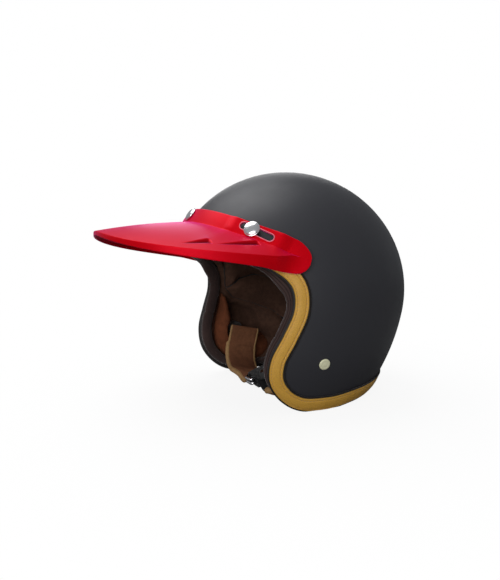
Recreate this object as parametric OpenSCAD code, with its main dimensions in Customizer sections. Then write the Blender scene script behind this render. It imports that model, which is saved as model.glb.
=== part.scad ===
// Open-face motorcycle helmet with a clip-on peak.
// Origin: under the middle of the shell, on the plane the two cheeks rest on.
// +Z is up, the face looks along -Y, and the wearer's left is +X.

/* [Shell] */
// Half of the shell's outside width
shell_half_w = 120; // [112:1:126]
// Half of the shell's outside length, front to back
shell_half_l = 128.5; // [122:1:134]
// Height of the crown over the widest section
crown_h = 123.5; // [116:1:130]
// Reach of the long lower ellipsoid that forms the cheeks and the nape
skirt_reach = 172; // [160:1:184]
// Forward pitch of the shell's widest section, in degrees
shell_pitch = 13.9; // [10:0.1:16]
// Height of the shell's middle over the resting plane
middle_h = 109.5; // [109:0.5:109.5]
// Wall of the moulded outer shell
shell_wall = 3.5; // [3:0.1:4]

/* [Edge trim] */
// Width of the leather band along the face opening
band_w_face = 14.5; // [12:0.5:16]
// Width of the leather band along the lower edge
band_w_low = 17.5; // [15:0.5:19]
// How far the leather stands over the shell
band_rise = 2.2; // [1.6:0.1:2.6]
// Radius of the piping cord beside the band
piping_r = 0.9; // [0.7:0.1:1.1]

/* [Lining] */
// Depth of the crushable impact liner
liner_wall = 20; // [16:1:22]
// Depth of the crown comfort pad
crown_pad_wall = 6; // [4:0.5:8]
// Distance from the middle plane to the face of a cheek pad
cheek_face_x = 79; // [79:0.5:82]
// Radius of the port in each cheek pad that the chin strap leaves by
port_r = 17; // [16.5:0.5:18]

/* [Chin strap] */
// Width of the webbing
webbing_w = 22; // [20:1:22]
// Width of the padded sleeve on each leg of the strap
sleeve_w = 36; // [30:1:36]
// Thickness of the webbing
webbing_t = 2; // [1.6:0.2:2.4]
// Distance from the middle plane to the strap's hanging legs
leg_x = 74; // [70:1:74]
// Drop from the strap pivots to the bottom of the loop
loop_drop = 44; // [41:0.5:44]
// Forward lean of the loop at rest, in degrees
loop_lean = 12; // [8:1:16]
// Twist of the webbing where it meets the D-rings, in degrees
ring_twist = 32; // [0:1:34]
// Wire radius of the D-rings
ring_wire_r = 1.7; // [1.4:0.1:2]

/* [Peak] */
// Stand-off of the peak's mounting band from the shell, to its outside face
peak_off = 6.2; // [6.2:0.1:7]
// Thickness of the peak's moulding
peak_t = 2.2; // [1.8:0.1:2.2]
// Half-width of the brim outline
brim_half_w = 116.5; // [112:0.5:118]
// Length of the brim outline ahead of its widest line
brim_reach = 159; // [140:1:165]
// Width of the adjusting slot beside each side snap
slot_w = 7; // [6.8:0.1:7.4]
// Slot length ahead of the snap
slot_ahead = 12.6; // [11:0.2:13]
// Slot length behind the snap
slot_behind = 23; // [22.8:0.2:24]

/* [Snaps and rivets] */
// Radius of a snap fastener's domed cap
cap_r = 7.5; // [6.5:0.1:7.8]
// Radius of a chin-strap rivet's head
rivet_head_r = 5.4; // [5:0.1:6]

/* [Hidden] */

fit_gap = 0.4;          // air beside the shell's cut edge
layer_gap = 0.9;        // air between the layers inside the shell
run_gap = 0.06;         // radial clearance of a turning or sliding fit
fine = 48;              // facets of a small turned part

// Directions are [azimuth from the front towards the wearer's left, elevation].
crown_dir = [180, 40];
side_snap_dir = [46, 28.4];
centre_snap_dir = [0, 35.3];
rivet_dir = [79.9, -28];

// Half of the shell's lower edge, from the brow round the cheek to the nape.
rim_half = [
    [0, 22], [22, 20.3], [40, 16.5], [54.3, 12], [63.1, 5.4], [64.4, -3.8],
    [60.2, -14.1], [54.9, -24], [53.5, -33.3], [57.9, -41.5], [68.2, -48],
    [84.9, -50.6], [106.4, -50.3], [130.3, -49.4], [155.2, -48.5], [180, -48]
];
rim_sub = 3;            // edge stations for each interval of rim_half
low_from = 9;           // interval of rim_half where the wider lower band begins
low_to = 11;            // interval where it has reached its full width

// ---- geometry helpers -------------------------------------------------

function unit(v) = v / norm(v);
function lerp(a, b, t) = a + (b - a) * t;
function clamp01(t) = min(1, max(0, t));
function ease(t) = let (u = clamp01(t)) u * u * (3 - 2 * u);
function mirror_x(v) = [-v.x, v.y, v.z];
function dir(d) = [sin(d[0]) * cos(d[1]), -cos(d[0]) * cos(d[1]), sin(d[1])];

function pitched(v) = [
    v.x,
    cos(shell_pitch) * v.y - sin(shell_pitch) * v.z,
    sin(shell_pitch) * v.y + cos(shell_pitch) * v.z
];
function unpitched(v) = [
    v.x,
    cos(shell_pitch) * v.y + sin(shell_pitch) * v.z,
    cos(shell_pitch) * v.z - sin(shell_pitch) * v.y
];
function reach(q) = q.z > 0 ? crown_h : skirt_reach;
function over(q, n) = [q.x / pow(shell_half_w, n), q.y / pow(shell_half_l, n), q.z / pow(reach(q), n)];

// Point of the shell's outside face along a unit direction from its middle.
function face(d) = d / norm(over(pitched(d), 1));
function face_normal(d) = unit(unpitched(over(pitched(d), 2)));
// Same point moved out by h along the face's normal, in the part's frame.
function skin(d, h = 0) = [0, 0, middle_h] + face(d) + h * face_normal(d);

// Catmull-Rom blend between p1 and p2.
function spline(p0, p1, p2, p3, t) =
    (2 * p1 + (p2 - p0) * t + (2 * p0 - 5 * p1 + 4 * p2 - p3) * t * t
    + (3 * p1 - p0 - 3 * p2 + p3) * t * t * t) / 2;
// Closed smooth loop of unit directions through a list of unit directions.
function loop_through(c, sub) = let (n = len(c)) [
    for (i = [0 : n - 1]) for (k = [0 : sub - 1])
        unit(spline(c[(i + n - 1) % n], c[i], c[(i + 1) % n], c[(i + 2) % n], k / sub))
];
// A half outline from front to back, closed by its mirror image.
function both_sides(half) = concat(
    [for (h = half) dir(h)],
    [for (i = [len(half) - 2 : -1 : 1]) mirror_x(dir(half[i]))]
);
function slerp(a, b, t) = let (w = acos(a * b)) (sin((1 - t) * w) * a + sin(t * w) * b) / sin(w);

rim = loop_through(both_sides(rim_half), rim_sub);
rim_n = len(rim);
rim_face = [for (d = rim) face(d)];
// Direction across the edge, along the shell's face and away from the opening.
rim_across = [
    for (i = [0 : rim_n - 1])
        unit(cross(face_normal(rim[i]), rim_face[(i + 1) % rim_n] - rim_face[(i + rim_n - 1) % rim_n]))
];
function rim_station(i) = let (k = i / rim_sub, last = len(rim_half) - 1) k > last ? 2 * last - k : k;
function band_w(i) = lerp(band_w_face, band_w_low, ease((rim_station(i) - low_from) / (low_to - low_from)));
// Direction of the point w inside the trimmed edge.
function rim_in(i, w) = unit(rim_face[i] + w * rim_across[i]);
// Point w inside the trimmed edge and h off the shell, kept above the resting plane.
function edge_point(i, w, h) = let (p = skin(rim_in(i, w), h)) [p.x, p.y, max(0, p.z)];

// Closed solid through rings of equal length. Without tips the last ring joins
// the first; with tips each end closes on its own point.
module loft(rings, tips = []) {
    n = len(rings[0]);
    m = len(rings);
    looped = len(tips) == 0;
    points = concat([for (r = rings) each r], tips);
    sides = [
        for (j = [0 : (looped ? m : m - 1) - 1]) for (i = [0 : n - 1])
            let (a = j * n + i, b = j * n + (i + 1) % n, c = ((j + 1) % m) * n + (i + 1) % n,
                d = ((j + 1) % m) * n + i)
            each [[a, b, c], [a, c, d]]
    ];
    caps = looped ? [] : [
        for (i = [0 : n - 1])
            each [[m * n, (i + 1) % n, i], [m * n + 1, (m - 1) * n + i, (m - 1) * n + (i + 1) % n]]
    ];
    faces = concat(sides, caps);
    // The faces have to wind the same way round whichever way the rings run.
    parts = [for (f = faces) cross(points[f[0]], points[f[1]]) * points[f[2]]];
    outward = parts * [for (p = parts) 1] < 0;
    polyhedron(points, outward ? faces : [for (f = faces) [f[0], f[2], f[1]]]);
}

// Curved sheet over the directions inside a loop, from offset outer to offset
// inner; rows is the number of steps, closer near the loop, to the crown.
module dome(loop, crown, outer, inner, rows) {
    function ring(j, h) = [for (d = loop) skin(slerp(d, crown, pow(j / rows, 1.25)), h)];
    loft(
        concat(
            [for (j = [rows - 1 : -1 : 0]) ring(j, outer)],
            [for (j = [0 : rows - 1]) ring(j, inner)]
        ),
        [skin(crown, outer), skin(crown, inner)]
    );
}

// Closed section swept round the whole edge, one list of [w, h] pairs a station.
module edge_sweep(sections) {
    loft([for (i = [0 : rim_n - 1]) [for (s = sections[i]) edge_point(i, s[0], s[1])]]);
}

// Places children on the shell at a direction, +Z along the face's normal.
module on_face(d, h = 0) {
    n = face_normal(dir(d));
    translate(skin(dir(d), h))
        rotate([0, acos(n.z), atan2(n.y, n.x)])
            children();
}

module mirrored_left_right(right) {
    if (right) mirror([1, 0, 0]) children();
    else children();
}

// ---- shell and edge ---------------------------------------------------

shell_edge_in = 2.8;    // the shell's cut edge, behind the welt
shell_rows = 15;
stud_bore_r = 2.1;
rivet_bore_r = 2.7;

module outer_shell() {
    loop = [for (i = [0 : rim_n - 1]) rim_in(i, shell_edge_in)];
    color([0.11, 0.11, 0.12])
        difference() {
            dome(loop, dir(crown_dir), 0, -shell_wall, shell_rows);
            for (right = [false, true])
                mirrored_left_right(right) {
                    on_face(side_snap_dir, -10) cylinder(r = stud_bore_r, h = 20, $fn = fine);
                    on_face(rivet_dir, -10) cylinder(r = rivet_bore_r, h = 20, $fn = fine);
                }
            on_face(centre_snap_dir, -10) cylinder(r = stud_bore_r, h = 20, $fn = fine);
        }
}

trim_in = -shell_wall - 0.6;        // offset of the welt's inner leg
trim_wall = 1.7;
trim_leg = 8;                       // how far the inner leg reaches from the edge
welt_w = 1.8;                       // width of the welt outside the shell

// Leather band along the outside of the cut edge.
module edge_trim() {
    color([0.72, 0.48, 0.2])
        edge_sweep([
            for (i = [0 : rim_n - 1]) let (w = band_w(i)) [
                [w, fit_gap], [w, band_rise - 0.6], [w - 2, band_rise], [welt_w + 2, band_rise],
                [welt_w + 0.5, band_rise - 1], [welt_w + 0.5, fit_gap]
            ]
        ]);
}

// Welt folded round the shell's cut edge, between the leather and the edge roll.
module edge_welt() {
    wrap = shell_edge_in - fit_gap;
    color([0.1, 0.09, 0.08])
        edge_sweep([
            for (i = [0 : rim_n - 1]) [
                [welt_w, 0.2], [welt_w, 1.3], [0.8, 1], [0, -1.4], [0.7, trim_in - 0.6],
                [2.4, trim_in - trim_wall], [trim_leg, trim_in - trim_wall], [trim_leg, trim_in],
                [wrap, trim_in], [wrap, 0.2]
            ]
        ]);
}

module trim_piping() {
    sides = 8;
    color([0.12, 0.09, 0.07])
        edge_sweep([
            for (i = [0 : rim_n - 1]) let (w = band_w(i) + piping_r + 0.3) [
                for (k = [0 : sides - 1])
                    [w + piping_r * cos(360 * k / sides), 0.4 + piping_r * (1 - sin(360 * k / sides))]
            ]
        ]);
}

roll_top = trim_in - trim_wall - fit_gap;   // offset where the edge roll begins
roll_depth = 9.5;
roll_w = 8.5;

module edge_roll() {
    color([0.2, 0.16, 0.17])
        edge_sweep([
            for (i = [0 : rim_n - 1]) [
                [roll_w, roll_top], [1.4, roll_top], [0.7, roll_top - 3], [1.2, roll_top - 6.5],
                [3.4, roll_top - roll_depth], [6.4, roll_top - roll_depth], [roll_w, roll_top - 6.5]
            ]
        ]);
}

// ---- lining -----------------------------------------------------------

liner_out = -shell_wall - layer_gap;
liner_in = liner_out - liner_wall;
liner_half = [
    [0, 33], [24, 31], [42, 26.5], [57, 19], [68, 9], [76, -1], [93, -5],
    [109, -14], [114, -26], [127, -33.5], [150, -36], [180, -36.5]
];
crown_pad_half = [
    [0, 35], [24, 33], [42, 28.5], [58, 20.5], [70, 11], [80, 2], [95, -1.5],
    [107, -10], [112, -23], [126, -31], [150, -33.8], [180, -34.3]
];
washer_pocket_r = 5.6;
washer_pocket = 2;

module impact_liner() {
    color([0.16, 0.16, 0.17])
        difference() {
            dome(loop_through(both_sides(liner_half), 3), dir(crown_dir), liner_out, liner_in, 9);
            for (right = [false, true])
                mirrored_left_right(right)
                    on_face(side_snap_dir, liner_out - washer_pocket)
                        cylinder(r = washer_pocket_r, h = 8, $fn = fine);
            on_face(centre_snap_dir, liner_out - washer_pocket)
                cylinder(r = washer_pocket_r, h = 8, $fn = fine);
        }
}

module crown_pad() {
    color([0.2, 0.14, 0.11])
        dome(loop_through(both_sides(crown_pad_half), 3), dir(crown_dir), liner_in - layer_gap,
            liner_in - layer_gap - crown_pad_wall, 8);
}

// Padded roll against the shell, along a belt centred on azimuth mid: half_h
// high and half_a wide in degrees, with its ends dropped by drop.
module belt_roll(mid, el, half_h, half_a, wall, drop, steps = 24) {
    outline = [[-1, 0], [-1, 0.6], [-0.72, 0.9], [-0.25, 1], [0.25, 1], [0.72, 0.9], [1, 0.6], [1, 0]];
    function middle_el(u) = el - drop * (1 - cos(u * 90));
    function section(u) = let (k = sqrt(max(0.02, 1 - pow(abs(u), 8)))) [
        for (s = outline)
            skin(dir([mid + half_a * u, middle_el(u) + half_h * k * s[0]]), liner_out - wall * k * s[1])
    ];
    function middle(u) = skin(dir([mid + half_a * u, middle_el(u)]), liner_out - wall * 0.07);
    loft([for (j = [0 : steps]) section(2 * j / steps - 1)], [middle(-1), middle(1)]);
}

module brow_pad() {
    color([0.2, 0.14, 0.11]) belt_roll(0, 28.9, 2.1, 50, liner_wall + 3, 8.6);
}

module nape_roll() {
    color([0.2, 0.14, 0.11]) belt_roll(180, -40.2, 2.8, 62, liner_wall + 1, 0);
}

// The pad is a column beside the face and a lobe below the ear.
cheek_half = [
    [70.5, -5], [69, -13], [65, -22], [61.5, -32], [65, -39.5], [74, -44.5], [86, -46.3],
    [99, -45.5], [105.5, -38], [100, -31.5], [88, -29], [78.5, -24], [75, -15], [73.5, -7]
];
cheek_centre = [70.5, -35];
cheek_lip = 3;

module cheek_pad(right) {
    loop = loop_through([for (d = cheek_half) dir(d)], 3);
    rows = 5;
    centre = dir(cheek_centre);
    function swell(t) = sqrt(1 - pow(1 - t, 3));
    function back(d) = skin(d, liner_out);
    function front(d, t) = let (p = back(d))
        [p.x - cheek_lip - (p.x - cheek_lip - cheek_face_x) * swell(t), p.y, p.z];
    mirrored_left_right(right)
        color([0.3, 0.16, 0.1])
            difference() {
                loft(
                    concat(
                        [for (j = [rows - 1 : -1 : 0]) [for (d = loop) back(slerp(d, centre, j / rows))]],
                        [
                            for (j = [0 : rows - 1])
                                [for (d = loop) front(slerp(d, centre, j / rows), j / rows)]
                        ]
                    ),
                    [back(centre), front(centre, 1)]
                );
                at_pivot() rotate([0, 90, 0]) cylinder(r = port_r, h = 200, $fn = 64);
            }
}

module cheek_pad_left() { cheek_pad(false); }
module cheek_pad_right() { cheek_pad(true); }

// ---- chin-strap anchors and rivets ------------------------------------

rivet_point = skin(dir(rivet_dir), -shell_wall);
pivot_y = rivet_point.y;
pivot_z = rivet_point.z;
pivot_out_x = rivet_point.x - 6.4;  // outer end of the pivot pin's bare length
pivot_in_x = pivot_out_x - 5.6;
pin_r = 3;
anchor_top = -shell_wall - 1;       // offset of the anchor plate's outer face
anchor_t = 1.6;
boss_t = 3.6;
rivet_end = anchor_top - 2.2;       // offset of the rivet's inner end

module at_pivot() {
    translate([0, pivot_y, pivot_z]) children();
}

// Cylinder on the pivot line, from x to x + len.
module pivot_disc(r, x, len) {
    at_pivot() translate([x, 0, 0]) rotate([0, 90, 0]) cylinder(r = r, h = len, $fn = fine);
}

module strap_anchor(right) {
    retainer_t = 1.2;
    mirrored_left_right(right)
        color([0.75, 0.75, 0.77])
            difference() {
                union() {
                    on_face(rivet_dir, anchor_top - anchor_t) cylinder(r = 8, h = anchor_t, $fn = fine);
                    on_face(rivet_dir, anchor_top - boss_t) cylinder(r = 5, h = boss_t, $fn = fine);
                    pivot_disc(pin_r, pivot_in_x, 8);
                    pivot_disc(pin_r + 1.6, pivot_in_x - retainer_t, retainer_t);
                }
                on_face(rivet_dir, rivet_end) cylinder(r = rivet_bore_r, h = 10, $fn = fine);
            }
}

module strap_anchor_left() { strap_anchor(false); }
module strap_anchor_right() { strap_anchor(true); }

module strap_rivet(right) {
    shank_r = rivet_bore_r - 0.1;
    mirrored_left_right(right)
        color([0.86, 0.83, 0.62])
            on_face(rivet_dir)
                rotate_extrude($fn = fine)
                    polygon([
                        [0, rivet_end + 0.2], [shank_r, rivet_end + 0.2], [shank_r, 0.25],
                        [rivet_head_r, 0.25],
                        [rivet_head_r, 0.9], [rivet_head_r - 1, 1.7], [rivet_head_r - 2.2, 1.9],
                        [rivet_head_r - 2.8, 1.5], [rivet_head_r - 3.6, 1.5], [rivet_head_r - 4.1, 1.8],
                        [0, 1.8]
                    ]);
}

module strap_rivet_left() { strap_rivet(false); }
module strap_rivet_right() { strap_rivet(true); }

// ---- chin strap -------------------------------------------------------
// The loop is laid out hanging straight down from the pivot line: x across the
// helmet, z down from the pivots. It is then leaned forward about that line.

module leaned() {
    at_pivot() rotate([-loop_lean, 0, 0]) children();
}

hanger_t = 1.5;
hanger_x = pivot_in_x + 1.6;        // inner face of the hanger's disc
tongue_z = -6.6;                    // top of the tongue that carries the webbing
tongue_len = 15;
web_z = tongue_z - hanger_t - webbing_t / 2 - 0.2;

module strap_hanger(right) {
    mirrored_left_right(right)
        color([0.7, 0.7, 0.72])
            leaned() {
                translate([hanger_x, 0, 0])
                    rotate([0, 90, 0])
                        difference() {
                            cylinder(r = 8.4, h = hanger_t, $fn = fine);
                            translate([0, 0, -1]) cylinder(r = pin_r + run_gap, h = hanger_t + 2, $fn = fine);
                        }
                translate([hanger_x - tongue_len, -8, tongue_z - hanger_t])
                    cube([tongue_len + hanger_t, 16, hanger_t]);
            }
}

module strap_hanger_left() { strap_hanger(false); }
module strap_hanger_right() { strap_hanger(true); }

leg_bend_r = 5;
loop_bend_r = 30;
loop_z = -loop_drop;
twist_from_x = 46;                  // the bottom run starts to twist here
twist_to_x = 22;

run_stations = [44, 36, 28, twist_to_x];

// The twisted bottom run has its width along wide_at and its face along up_at.
function twist_at(x) = ring_twist * ease((twist_from_x - abs(x)) / (twist_from_x - twist_to_x));
function wide_at(x) = [0, cos(twist_at(x)), sin(twist_at(x))];
function up_at(x) = [0, -sin(twist_at(x)), cos(twist_at(x))];
// Point of the bottom run at x, lifted by n off its lowest layer.
function bottom_point(x, n = 0) = [x, 0, loop_z] + n * up_at(x);

// Centre line from the hanger's tongue, down the leg and round to the bottom.
leg_line = concat(
    [[hanger_x - 1.5, 0, web_z]],
    [for (a = [0 : 30 : 90])
        [leg_x + leg_bend_r - leg_bend_r * sin(a), 0, web_z - leg_bend_r + leg_bend_r * cos(a)]],
    [for (a = [0 : 10 : 80])
        [leg_x - loop_bend_r + loop_bend_r * cos(a), 0, loop_z + loop_bend_r - loop_bend_r * sin(a)]]
);
sleeve_start = 5;                   // first point of leg_line inside the sleeve

// Flat ribbon, wide by thick, along a centre line.
module ribbon(line, wide, thick) {
    last = len(line) - 1;
    function section(i) = let (
            along = unit(line[min(last, i + 1)] - line[max(0, i - 1)]),
            side = wide_at(line[i].x) * wide / 2,
            up = cross(along, unit(side)) * thick / 2)
        [line[i] - side - up, line[i] + side - up, line[i] + side + up, line[i] - side + up];
    leaned() loft([for (i = [0 : last]) section(i)], [line[0], line[last]]);
}

ring_x = 2;                         // the D-rings' bars, off the middle plane
ring_pitch = 4.6;                   // distance between the two stacked rings
ring_len = 14.5;                    // bar to bow
ring_corner = 5;
ring_lift = ring_wire_r + ring_pitch / 2 + webbing_t / 2 + 1.3;
turn_r = ring_pitch / 2 + ring_wire_r + 0.3 + webbing_t / 2;

// Near webbing: its end turns round the bars of both D-rings.
module ring_strap() {
    line = concat(
        leg_line,
        [for (x = run_stations) bottom_point(x)],
        [bottom_point(ring_x + 12, ring_lift + turn_r - 3), bottom_point(ring_x + 5, ring_lift + turn_r)],
        [for (a = [0 : 30 : 180])
            bottom_point(ring_x - turn_r * sin(a), ring_lift + turn_r * cos(a))],
        [bottom_point(ring_x + 9, ring_lift - turn_r)]
    );
    color([0.06, 0.06, 0.06]) ribbon(line, webbing_w, webbing_t);
}

thread_x = ring_x - 9.2;            // where the far webbing rises through the rings
tail_n = ring_lift + turn_r + webbing_t + 0.5;
tail_end_x = 32;

// Far webbing: it rises through both D-rings, and its tail lies on the near one.
module long_strap() {
    bend = 1.6;
    line = concat(
        [for (p = leg_line) mirror_x(p)],
        [for (x = run_stations) bottom_point(-x)],
        [bottom_point(-16)],
        [for (a = [0 : 30 : 90]) bottom_point(thread_x - bend * (1 - sin(a)), bend * (1 - cos(a)))],
        [for (a = [0 : 30 : 90]) bottom_point(thread_x + bend * (1 - cos(a)), tail_n - bend * (1 - sin(a)))],
        [for (x = [ring_x, 12, 22, tail_end_x]) bottom_point(x, tail_n)]
    );
    color([0.06, 0.06, 0.06]) ribbon(line, webbing_w, webbing_t);
}

sleeve_gap = 0.3;
sleeve_wall = 2;
sleeve_end_x = 44;                  // the sleeve ends here, before the webbing twists
flap_top = 6;                       // top of the sleeve's flap, over the pivot line

// Padded sleeve round the webbing, with a flap that covers the strap's pivot.
module strap_sleeve(right) {
    line = [for (i = [sleeve_start : len(leg_line) - 1]) leg_line[i]];
    first = line[0] + [0, 0, 1];
    last = bottom_point(sleeve_end_x - 1);
    thick = webbing_t + 2 * (sleeve_gap + sleeve_wall);
    mirrored_left_right(right)
        color([0.45, 0.33, 0.2]) {
            difference() {
                ribbon(concat(line, [bottom_point(sleeve_end_x)]), sleeve_w, thick);
                ribbon(concat([first], line, [last]), webbing_w + 2 * sleeve_gap, webbing_t + 2 * sleeve_gap);
            }
            leaned()
                translate([leg_x - thick / 2, -sleeve_w / 2, leg_line[sleeve_start].z - 1])
                    cube([sleeve_wall, sleeve_w, flap_top + 1 - leg_line[sleeve_start].z]);
        }
}

module strap_sleeve_left() { strap_sleeve(false); }
module strap_sleeve_right() { strap_sleeve(true); }

keeper_x = 16;

module keeper_snap() {
    color([0.75, 0.75, 0.77])
        leaned() translate(bottom_point(keeper_x, tail_n + webbing_t / 2 + 0.2))
            rotate([twist_at(keeper_x), 0, 0])
                cylinder(r = 5, h = 2, $fn = fine);
}

// Ring of round wire lying along the twisted bottom run, its bar at ring_x.
module d_ring(lift) {
    half_w = webbing_w / 2 + 1.2 + ring_wire_r;
    arm = ring_len - ring_corner;
    color([0.8, 0.8, 0.82])
        leaned() translate(bottom_point(ring_x, lift))
            rotate([ring_twist, 0, 0]) {
                rotate([90, 0, 0]) cylinder(r = ring_wire_r, h = 2 * half_w, center = true, $fn = 24);
                translate([-ring_len, 0, 0])
                    rotate([90, 0, 0])
                        cylinder(r = ring_wire_r, h = 2 * (half_w - ring_corner), center = true, $fn = 24);
                for (s = [-1, 1]) {
                    translate([0, s * half_w, 0]) sphere(r = ring_wire_r, $fn = 24);
                    translate([0, s * half_w, 0])
                        rotate([0, -90, 0]) cylinder(r = ring_wire_r, h = arm, $fn = 24);
                    translate([-arm, s * (half_w - ring_corner), 0])
                        rotate([0, 0, s > 0 ? 90 : 180])
                            rotate_extrude(angle = 90, $fn = 48)
                                translate([ring_corner, 0]) circle(r = ring_wire_r, $fn = 24);
                }
            }
}

module d_ring_inner() { d_ring(ring_lift + ring_pitch / 2); }
module d_ring_outer() { d_ring(ring_lift - ring_pitch / 2); }

// ---- snap fasteners ---------------------------------------------------
// Heights are measured from the shell's face along the stud.

stud_head_r = 2.9;
socket_r = 5.4;
socket_z0 = 1.05;
washer_t = 0.8;
washer_z = -shell_wall - 1 - washer_t;
stud_end = washer_z - 0.4;
peak_in = peak_off - peak_t;
post_r = slot_w / 2 - 0.2;
cap_h = 3;

module snap_stud(d) {
    color([0.78, 0.78, 0.8])
        on_face(d)
            rotate_extrude($fn = fine)
                polygon([
                    [0, stud_end], [stud_bore_r - 0.1, stud_end], [stud_bore_r - 0.1, 0.15],
                    [5, 0.15], [5, 0.85],
                    [2.4, 0.85], [2.4, 1.3], [stud_head_r, 1.9], [stud_head_r, 2.4], [2.2, 3], [0, 3]
                ]);
}

module snap_stud_left() { snap_stud(side_snap_dir); }
module snap_stud_centre() { snap_stud(centre_snap_dir); }
module snap_stud_right() { mirror([1, 0, 0]) snap_stud(side_snap_dir); }

module stud_washer(d) {
    on_face(d, washer_z)
        difference() {
            cylinder(r = 4.6, h = washer_t, $fn = fine);
            translate([0, 0, -1]) cylinder(r = stud_bore_r, h = 3, $fn = fine);
        }
}

module stud_washers() {
    color([0.7, 0.7, 0.72]) {
        stud_washer(side_snap_dir);
        stud_washer(centre_snap_dir);
        mirror([1, 0, 0]) stud_washer(side_snap_dir);
    }
}

module snap_socket(d) {
    color([0.7, 0.7, 0.72])
        on_face(d)
            rotate_extrude($fn = fine)
                polygon([
                    [stud_head_r + run_gap, socket_z0], [socket_r, socket_z0], [socket_r, peak_in - 0.45],
                    [0, peak_in - 0.45], [0, 3.1], [stud_head_r + run_gap, 3.1]
                ]);
}

module snap_socket_left() { snap_socket(side_snap_dir); }
module snap_socket_centre() { snap_socket(centre_snap_dir); }
module snap_socket_right() { mirror([1, 0, 0]) snap_socket(side_snap_dir); }

module snap_cap(d) {
    base = peak_off + 0.15;
    steps = 8;
    color([0.85, 0.85, 0.87])
        on_face(d)
            rotate_extrude($fn = fine)
                polygon(concat(
                    [[0, peak_in - 0.4], [post_r, peak_in - 0.4], [post_r, base], [cap_r - 0.5, base]],
                    [for (k = [0 : steps - 1]) let (a = 90 * k / steps)
                        [cap_r * cos(a), base + 0.5 + (cap_h - 0.5) * sin(a)]],
                    [[0, base + cap_h]]
                ));
}

module snap_cap_left() { snap_cap(side_snap_dir); }
module snap_cap_centre() { snap_cap(centre_snap_dir); }
module snap_cap_right() { mirror([1, 0, 0]) snap_cap(side_snap_dir); }

// ---- peak -------------------------------------------------------------

pull_dir = face_normal(dir(centre_snap_dir));
side_normal = face_normal(dir(side_snap_dir));
// Forward along the slot: the part of the pull that lies in the slot's plane.
slot_dir = unit(pull_dir - (pull_dir * side_normal) * side_normal);

end_az = 66;            // azimuth where the band's rounded ends begin
end_len = 6.2;          // degrees of azimuth that the rounded end takes
end_el = 17;            // elevation of the rounded end's middle
fall = 23.3;            // how far the band drops towards its ends

brim_y = -45;           // widest line of the brim outline
brim_power = 2.16;
brim_front_z = 70.5;    // height of the brim's root over the shell's middle

function closing(a) = let (u = clamp01((abs(a) - end_az) / end_len)) sqrt(max(0.01, 1 - u * u));
function belt(a, el) = end_el + (el - fall * (1 - cos(a)) - end_el) * closing(a);
function band_top(a) = belt(a, 38.5);
function band_low(a) = belt(a, 31.6);
function end_low(a) = end_el + (10.6 - end_el) * closing(a);

// Brim top over a point of the plan.
function brim_z(x, y) = let (u = (y + 115) / 90)
    middle_h + brim_front_z + 2.7 * u - 7 * u * u - 24.8 * pow(abs(x / 100), 1.575);
// Plan distance from the middle to the brim outline along an azimuth, by halving.
function brim_r(a, lo = 0, hi = 320, n = 24) = n == 0 ? (lo + hi) / 2 :
    let (r = (lo + hi) / 2,
        f = pow(abs(r * sin(a)) / brim_half_w, brim_power)
            + pow(max(0, r * cos(a) + brim_y) / brim_reach, brim_power))
    f > 1 ? brim_r(a, lo, r, n - 1) : brim_r(a, r, hi, n - 1);

// Flattens the band round the side slots, so that the snaps slide in a plane.
function flat_pad(p, h) = let (
        s = skin(dir(side_snap_dir), h),
        q = [abs(p.x), p.y, p.z] - s,
        along = abs(q * slot_dir + (slot_behind - slot_ahead) / 2),
        wide = abs(q * cross(slot_dir, side_normal)),
        k = ease((34 - along) / 12) * ease((14 - wide) / 7),
        f = s + q - k * (q * side_normal) * side_normal)
    [p.x < 0 ? -f.x : f.x, f.y, f.z];
function on_band(a, el, h) = flat_pad(skin(dir([a, el]), h), h);

// Brim point: s runs from the band crease (0) to the outline (1); sink lowers it.
function brim_point(a, s, sink) = let (
        root = on_band(a, band_low(a), peak_off),
        r = brim_r(a),
        k = ease((abs(a) - 58) / 11),
        out = [r * sin(a), -r * cos(a)],
        edge = lerp([out.x, out.y, brim_z(out.x, out.y)], root, k),
        xy = lerp([root.x, root.y], [edge.x, edge.y], s),
        lift = root.z - brim_z(root.x, root.y),
        z = lerp(brim_z(xy.x, xy.y) + lift * (1 - s), lerp(root.z, edge.z, s), k))
    [xy.x, xy.y, z - sink];
function skirt_h(a) = 3.9 + 8.6 * pow(clamp01(abs(a) / 66), 1.5);
function skirt_point(a, h) = let (
        p = brim_point(a, 1, skirt_h(a)),
        k = ease((abs(a) - 52) / 14),
        q = p - (peak_off - h) * [sin(a), -cos(a), 0])
    lerp(q, on_band(a, end_low(a), h), k);

brim_steps = 5;
function peak_section(a) = concat(
    [on_band(a, band_top(a), peak_off)],
    [on_band(a, (band_top(a) + band_low(a)) / 2, peak_off)],
    [for (j = [0 : brim_steps]) brim_point(a, j / brim_steps, 0)],
    [skirt_point(a, peak_off)],
    [skirt_point(a, peak_in)],
    [for (j = [brim_steps - 1 : -1 : 1])
        let (k = ease((abs(a) - 58) / 11))
        let (el = lerp(band_low(a), end_low(a), j / brim_steps))
            lerp(brim_point(a, j / brim_steps, peak_t), on_band(a, el, peak_in), k)],
    [on_band(a, band_low(a) - 1 * closing(a), peak_in)],
    [on_band(a, (band_top(a) + band_low(a)) / 2, peak_in)],
    [on_band(a, band_top(a), peak_in)]
);
peak_azimuths = concat(
    [for (k = [6 : -1 : 1]) -end_az - end_len * sin(15 * k)],
    [for (k = [-22 : 22]) 3 * k],
    [for (k = [1 : 6]) end_az + end_len * sin(15 * k)]
);
function mean_of(points, i = 0) =
    i == len(points) ? [0, 0, 0] : points[i] / len(points) + mean_of(points, i + 1);

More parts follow.
